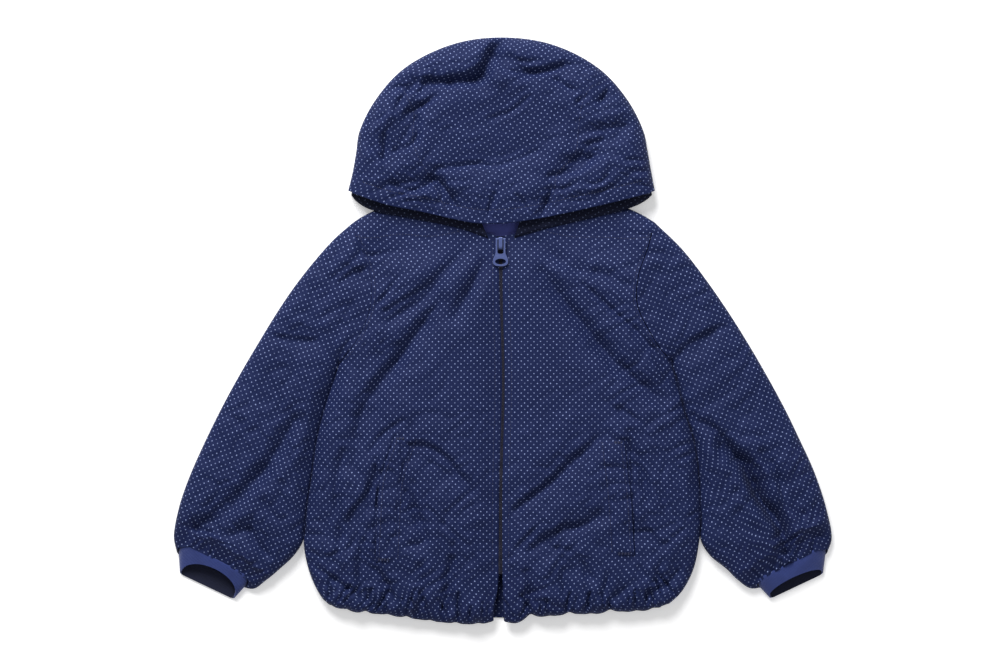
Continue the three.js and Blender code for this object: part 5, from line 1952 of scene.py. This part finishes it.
@dataclass
class FrontCasing:
    """The front's hem casing, turned in and drawn up by its elastic."""

    half: Half
    room: Workroom
    roll: float = 2.6
    depth: float = 20
    below: float = 0.3
    drawn_up: float = 0.5

    def place(self, s: Array, b: Array) -> Placed:
        """Place of each vertex: b is 0 at the hem's edge, 1 under it and 2 at the stitching."""
        point = self.half.hem.at(mix(0.05, 0.995, s))
        angle = np.minimum(b, 1) * math.pi / 2
        travel = self.roll * (1 - np.cos(angle))
        inside = mix(travel, self.depth, np.maximum(b - 1, 0))
        drawn = self.drawn_up * np.sin(point[..., 0] * 0.9) * bell(b - 1.4, 0.4)
        z = self.room.body.hem_edge - self.below - self.roll * np.sin(angle) + drawn
        return point[..., 0], point[..., 1] + inside, z

    def build(self) -> Object:
        rows = np.concatenate([np.linspace(0.05, 1, 8), 1 + even(12)[1:]])
        patch = Patch(even(160), rows, self.place)
        name = self.half.name
        piece = cloth_piece(f"front_hem_casing_{name}", [patch], self.room.shell, None)
        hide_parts(f"hem_casing_{name}")
        return piece


@dataclass
class PocketWelt:
    """The upright welt beside a pocket opening, tacked at both ends."""

    half: Half
    room: Workroom
    width: float = 20
    clear: float = 1.3
    tacked: float = 0.12
    roll: float = 0.55

    def place(self, a: Array, b: Array) -> Placed:
        """Place of each vertex: a is 0 at the opening and 1 at the seam, b runs down."""
        start = self.half.welt.at(b)
        x = start[..., 0] + self.half.sign * self.width * np.maximum(a, 0)
        turn = np.clip(-a, 0, 1) * math.pi
        x = x - self.half.sign * self.roll * np.sin(turn)
        y = start[..., 1]
        settled = smoothstep(0, 0.16, 1 - a) * smoothstep(0, 0.04, b) * smoothstep(0, 0.04, 1 - b)
        lift = mix(self.tacked, self.clear, settled)
        away = self.half.sign * 2.2 * np.exp(-np.maximum(a, 0) * 9)
        z = self.room.body.top(x + away, y) + lift - 0.5 * (1 - np.cos(turn))
        return x, y, z

    def build(self) -> Object:
        columns = np.concatenate([-np.linspace(1, 0, 6)[:-1], eased(18)])
        patch = Patch(columns, even(90), self.place)
        name = self.half.name
        piece = cloth_piece(
            f"pocket_flap_{name}", [patch], self.room.shell, self.room.body_cloth, wall=0.5)
        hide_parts(f"pocket_welt_{name}")
        return piece


@dataclass
class Zip:
    """The closed zip: two tapes, a coil chain, and the slider with its pull tab."""

    room: Workroom
    fronts: tuple[FrontPanel, FrontPanel]
    tape_under: float = 8
    sunk: float = 2.3
    pitch: float = 1.55
    chain_low: float = -240
    chain_high: float = 84
    bead: tuple[float, float, float] = (0.8, 0.52, 0.55)
    bead_side: float = 0.55
    bead_lift: float = 0.75
    tape_low: float = -242
    tape_high: float = 95
    tape_inner: float = 0.15
    cord: float = 0.45
    weld: float = 1e-5
    edge_bevel: float = 0.32
    bevel_angle: float = 35

    def level(self, y: Array) -> Array:
        """Height of the tapes along the zip."""
        return self.room.body.top(self.room.body.zip_line(y) + 3.4, y) - self.sunk

    def tape(self, front: FrontPanel) -> Object:
        """Builds one tape, which shows in the gap between the fronts."""
        sign = front.half.sign

        def place(a: Array, b: Array) -> Placed:
            y = mix(self.tape_low, self.tape_high, b)
            x = self.room.body.zip_line(y) - sign * mix(self.tape_inner, self.tape_under, a)
            cord = self.cord * bell(a - 0.07, 0.05)
            return x, y, self.level(y) + cord - 0.2 * a

        patch = Patch(even(14), even(180), place)
        name = front.half.name
        piece = cloth_piece(f"woven_zip_tape_{name}", [patch], self.room.tape, None, wall=0.6)
        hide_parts(f"zip_tape_{name}")
        return piece

    def chain(self) -> Object:
        """Builds the coil's turns, which mesh down the middle."""
        bm = bmesh.new()
        rows = np.arange(self.chain_low, self.chain_high, self.pitch)
        heights = self.level(rows)
        size = Matrix.Diagonal((*(half * MM for half in self.bead), 1))
        spots = []
        for k, (y, z) in enumerate(zip(rows, heights)):
            x = self.room.body.zip_line(y) + (self.bead_side if k % 2 else -self.bead_side)
            spots.append(Matrix.Translation(Vector((x, y, z + self.bead_lift)) * MM) @ size)
        beads_into(bm, spots, 8)
        return finish_piece("coil_chain", bm, self.room.chain)

    def hardware(self, part: Object, enamel: Material) -> None:
        """Rounds the edges of a metal part and gives it its enamel."""
        joined = part.modifiers.new("joined faces", "WELD")
        joined.merge_threshold = self.weld
        rounded = part.modifiers.new("rounded edges", "BEVEL")
        rounded.width = self.edge_bevel * MM
        rounded.segments = 3
        rounded.limit_method = "ANGLE"
        rounded.angle_limit = math.radians(self.bevel_angle)
        part.data.materials.clear()
        part.data.materials.append(enamel)

    def build(self, nodes: dict[str, Object]) -> list[Object]:
        """Builds the tapes and chain, and dresses the slider and the pull tab."""
        self.hardware(nodes["zip_pull_tab"], self.room.enamel)
        self.hardware(nodes["zip_slider"], self.room.slider_enamel)
        return [*[self.tape(front) for front in self.fronts], self.chain()]


@dataclass
class Sewing:
    """Rows of small stitches that lie on the cloth."""

    room: Workroom
    length: float = 2.3
    step: float = 3.1
    width: float = 0.42
    height: float = 0.34
    lift: float = 0.12
    sunk: float = -0.08
    on_welt: float = 1.4
    tack_lift: float = 1.35
    tack_step: float = 0.55
    from_zip: float = 8.2
    from_yoke: float = 3.0
    from_armhole: float = 3.2
    from_welt_seam: float = 22.0
    from_opening: float = 3.4
    from_hood_seam: float = 3.2

    def row(self, bm: BMesh, chain: Array, top: Height, lift: float) -> None:
        """Sews one row of stitches along a chain of plan points.

        Args:
            bm: The mesh that they go into.
            chain: The plan points.
            top: Top of the cloth over the plan.
            lift: How far over it the middle of a stitch lies.
        """
        steps = np.linalg.norm(np.diff(chain, axis=0), axis=1)
        run = np.concatenate([[0], np.cumsum(steps)])
        starts = np.arange(self.step / 2, run[-1] - self.step / 2, self.step)
        ends = [starts - self.length / 2, starts + self.length / 2]
        spots = []
        for end in ends:
            x, y = np.interp(end, run, chain[:, 0]), np.interp(end, run, chain[:, 1])
            spots.append(np.stack([x, y, top(x, y) + lift], axis=-1))
        stitches = []
        for a, b in zip(*spots):
            along = Vector((b - a) * MM)
            size = Matrix.Diagonal((along.length / 2 * 1.06, self.width * MM, self.height * MM, 1))
            turn = along.to_track_quat("X", "Z").to_matrix().to_4x4()
            stitches.append(Matrix.Translation(Vector((a + b) / 2 * MM)) @ turn @ size)
        beads_into(bm, stitches, 6)

    def bartack(self, bm: BMesh, at: Point, size: Point) -> None:
        """Sews a dense tack across the end of a pocket."""
        for y in np.arange(at[1] - size[1] / 2, at[1] + size[1] / 2, self.tack_step):
            chain = np.array([(at[0] - size[0] / 2, y), (at[0], y + 0.1), (at[0] + size[0] / 2, y)])
            self.row(bm, chain, self.room.body.top, self.tack_lift)

    def body_rows(self) -> Object:
        """Topstitching beside the zip, yokes, armholes and pockets."""
        bm = bmesh.new()
        top = self.room.body.top
        for half in self.room.halves:
            sign = half.sign
            ys = np.linspace(-240, 92, 120)
            beside_zip = self.room.body.zip_line(ys) - sign * self.from_zip
            self.row(bm, np.stack([beside_zip, ys], axis=-1), top, self.sunk)
            self.row(bm, half.yoke_seam.sampled(40) - [0, self.from_yoke], top, self.sunk)
            arm = half.armhole.at(np.linspace(0.03, 0.93, 60))
            self.row(bm, arm + [sign * self.from_armhole, 0], top, self.sunk)
            welt = half.welt.at(np.linspace(0.01, 0.99, 50))
            self.row(bm, welt + [sign * self.from_welt_seam, 0], top, self.lift)
            self.row(bm, welt + [sign * self.from_opening, 0], top, self.on_welt)
            ends = half.welt.at(np.array([0.0, 1.0]))
            for k, end in enumerate(ends):
                tack = (end[0] + sign * (9 if k else 5), end[1] + (2 if k else -2))
                self.bartack(bm, tack, (15 if k else 10, 1.7))
        return finish_piece("body_stitching", bm, self.room.thread)

    def hood_rows(self) -> Object:
        """Topstitching of the brim's hem and beside the panel seams."""
        bm = bmesh.new()
        hood = self.room.hood
        shares = np.linspace(0.02, 0.98, 160)
        brim = hood.brim.at(shares) + hood.brim.inward(shares, 1) * hood.hem_depth
        self.row(bm, brim, hood.top, self.lift)
        for seam, side in ((hood.seams[1], -1), (hood.seams[2], 1)):
            shares = np.linspace(0.06, 0.9, 80)
            chain = seam.at(shares) - seam.inward(shares, side) * self.from_hood_seam
            self.row(bm, chain, hood.top, self.sunk)
        return finish_piece("hood_stitching", bm, self.room.thread)

    def build(self) -> list[Object]:
        """Sews all the rows."""
        return [self.body_rows(), self.hood_rows()]


@dataclass(frozen=True)
class Lamp:
    """A soft round light that points at the jacket.

    Attributes:
        name: What it is for.
        at: Where it hangs, in metres.
        size: How wide it is.
        energy: How strong it is, in watts.
    """

    name: str
    at: tuple[float, float, float]
    size: float
    energy: float


@dataclass
class Studio:
    """Camera straight above, soft lights and a pale floor."""

    height: float = 2.5
    cloth_level: float = 0.014
    sensor: float = 36
    sky: float = 0.36
    floor_size: float = 4
    floor_level: float = -0.0004
    lamps: tuple[Lamp, ...] = (
        Lamp("soft light above", (-0.6, 1.8, 1.5), 1.4, 82),
        Lamp("fill light", (0.9, -1.0, 2.2), 1.8, 6),
    )

    def camera(self) -> None:
        """Sets the camera to the photograph's frame, one millimetre a pixel at the cloth."""
        data = bpy.data.cameras.new("camera")
        data.sensor_width = self.sensor
        data.lens = self.sensor * (self.height - self.cloth_level) / (PHOTO_SIZE[0] * MM)
        data.clip_end = 20
        eye = bpy.data.objects.new("camera", data)
        x = PHOTO_SIZE[0] / 2 - ORIGIN_PIXEL[0]
        y = ORIGIN_PIXEL[1] - PHOTO_SIZE[1] / 2
        eye.location = (x * MM, y * MM, self.height)
        bpy.context.scene.collection.objects.link(eye)
        bpy.context.scene.camera = eye

    def hang(self, lamp: Lamp) -> None:
        """Hangs one lamp."""
        data = bpy.data.lights.new(lamp.name, "AREA")
        data.shape = "DISK"
        data.size = lamp.size
        data.energy = lamp.energy
        light = bpy.data.objects.new(lamp.name, data)
        light.location = lamp.at
        light.rotation_euler = (-Vector(lamp.at)).to_track_quat("-Z", "Y").to_euler()
        bpy.context.scene.collection.objects.link(light)

    def backdrop(self) -> None:
        """Sets the sky and how its colours are shown."""
        world = bpy.data.worlds.new("studio")
        world.use_nodes = True
        sky = world.node_tree.nodes["Background"]
        sky.inputs[0].default_value = (1, 1, 1, 1)
        sky.inputs[1].default_value = self.sky
        bpy.context.scene.world = world
        bpy.context.scene.view_settings.view_transform = "Standard"

    def floor(self) -> None:
        """Lays the floor, a touch below the jacket."""
        bm = bmesh.new()
        bmesh.ops.create_grid(bm, x_segments=2, y_segments=2, size=self.floor_size)
        bmesh.ops.translate(bm, verts=bm.verts[:], vec=(0, 0, self.floor_level))
        mesh = bpy.data.meshes.new("floor")
        bm.to_mesh(mesh)
        bm.free()
        mesh.materials.append(PaleFloor().make())
        floor = bpy.data.objects.new("floor", mesh)
        bpy.context.scene.collection.objects.link(floor)

    def build(self) -> None:
        """Sets up the studio."""
        self.camera()
        for lamp in self.lamps:
            self.hang(lamp)
        self.backdrop()
        self.floor()


def plain(box: tuple[Vector, Vector]) -> list[list[float]]:
    """A box as plain lists of numbers."""
    return [list(corner) for corner in box]


def main() -> None:
    """Dresses the frame and reports each piece."""
    logging.basicConfig(level=logging.INFO, format="%(message)s")
    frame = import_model()
    Studio().build()
    room = Workroom.opened()
    made: list[Object] = []
    fronts = tuple(FrontPanel(half, room) for half in room.halves)
    made += BackPanel(room).build()
    for half, front in zip(room.halves, fronts):
        made.append(front.build())
        made.append(FrontCasing(half, room).build())
        made.append(Yoke(half, room).build())
        sleeve = Sleeve(half, room)
        made.append(sleeve.build())
        made.append(Cuff(sleeve).build())
        made.append(PocketWelt(half, room).build())
    made += Hood(room).build()
    made += Zip(room, fronts).build(frame["nodes"])
    made += Sewing(room).build()
    for piece in made:
        LOG.info("%s: %d faces", piece.name, len(piece.data.polygons))


if __name__ == "__main__":
    main()
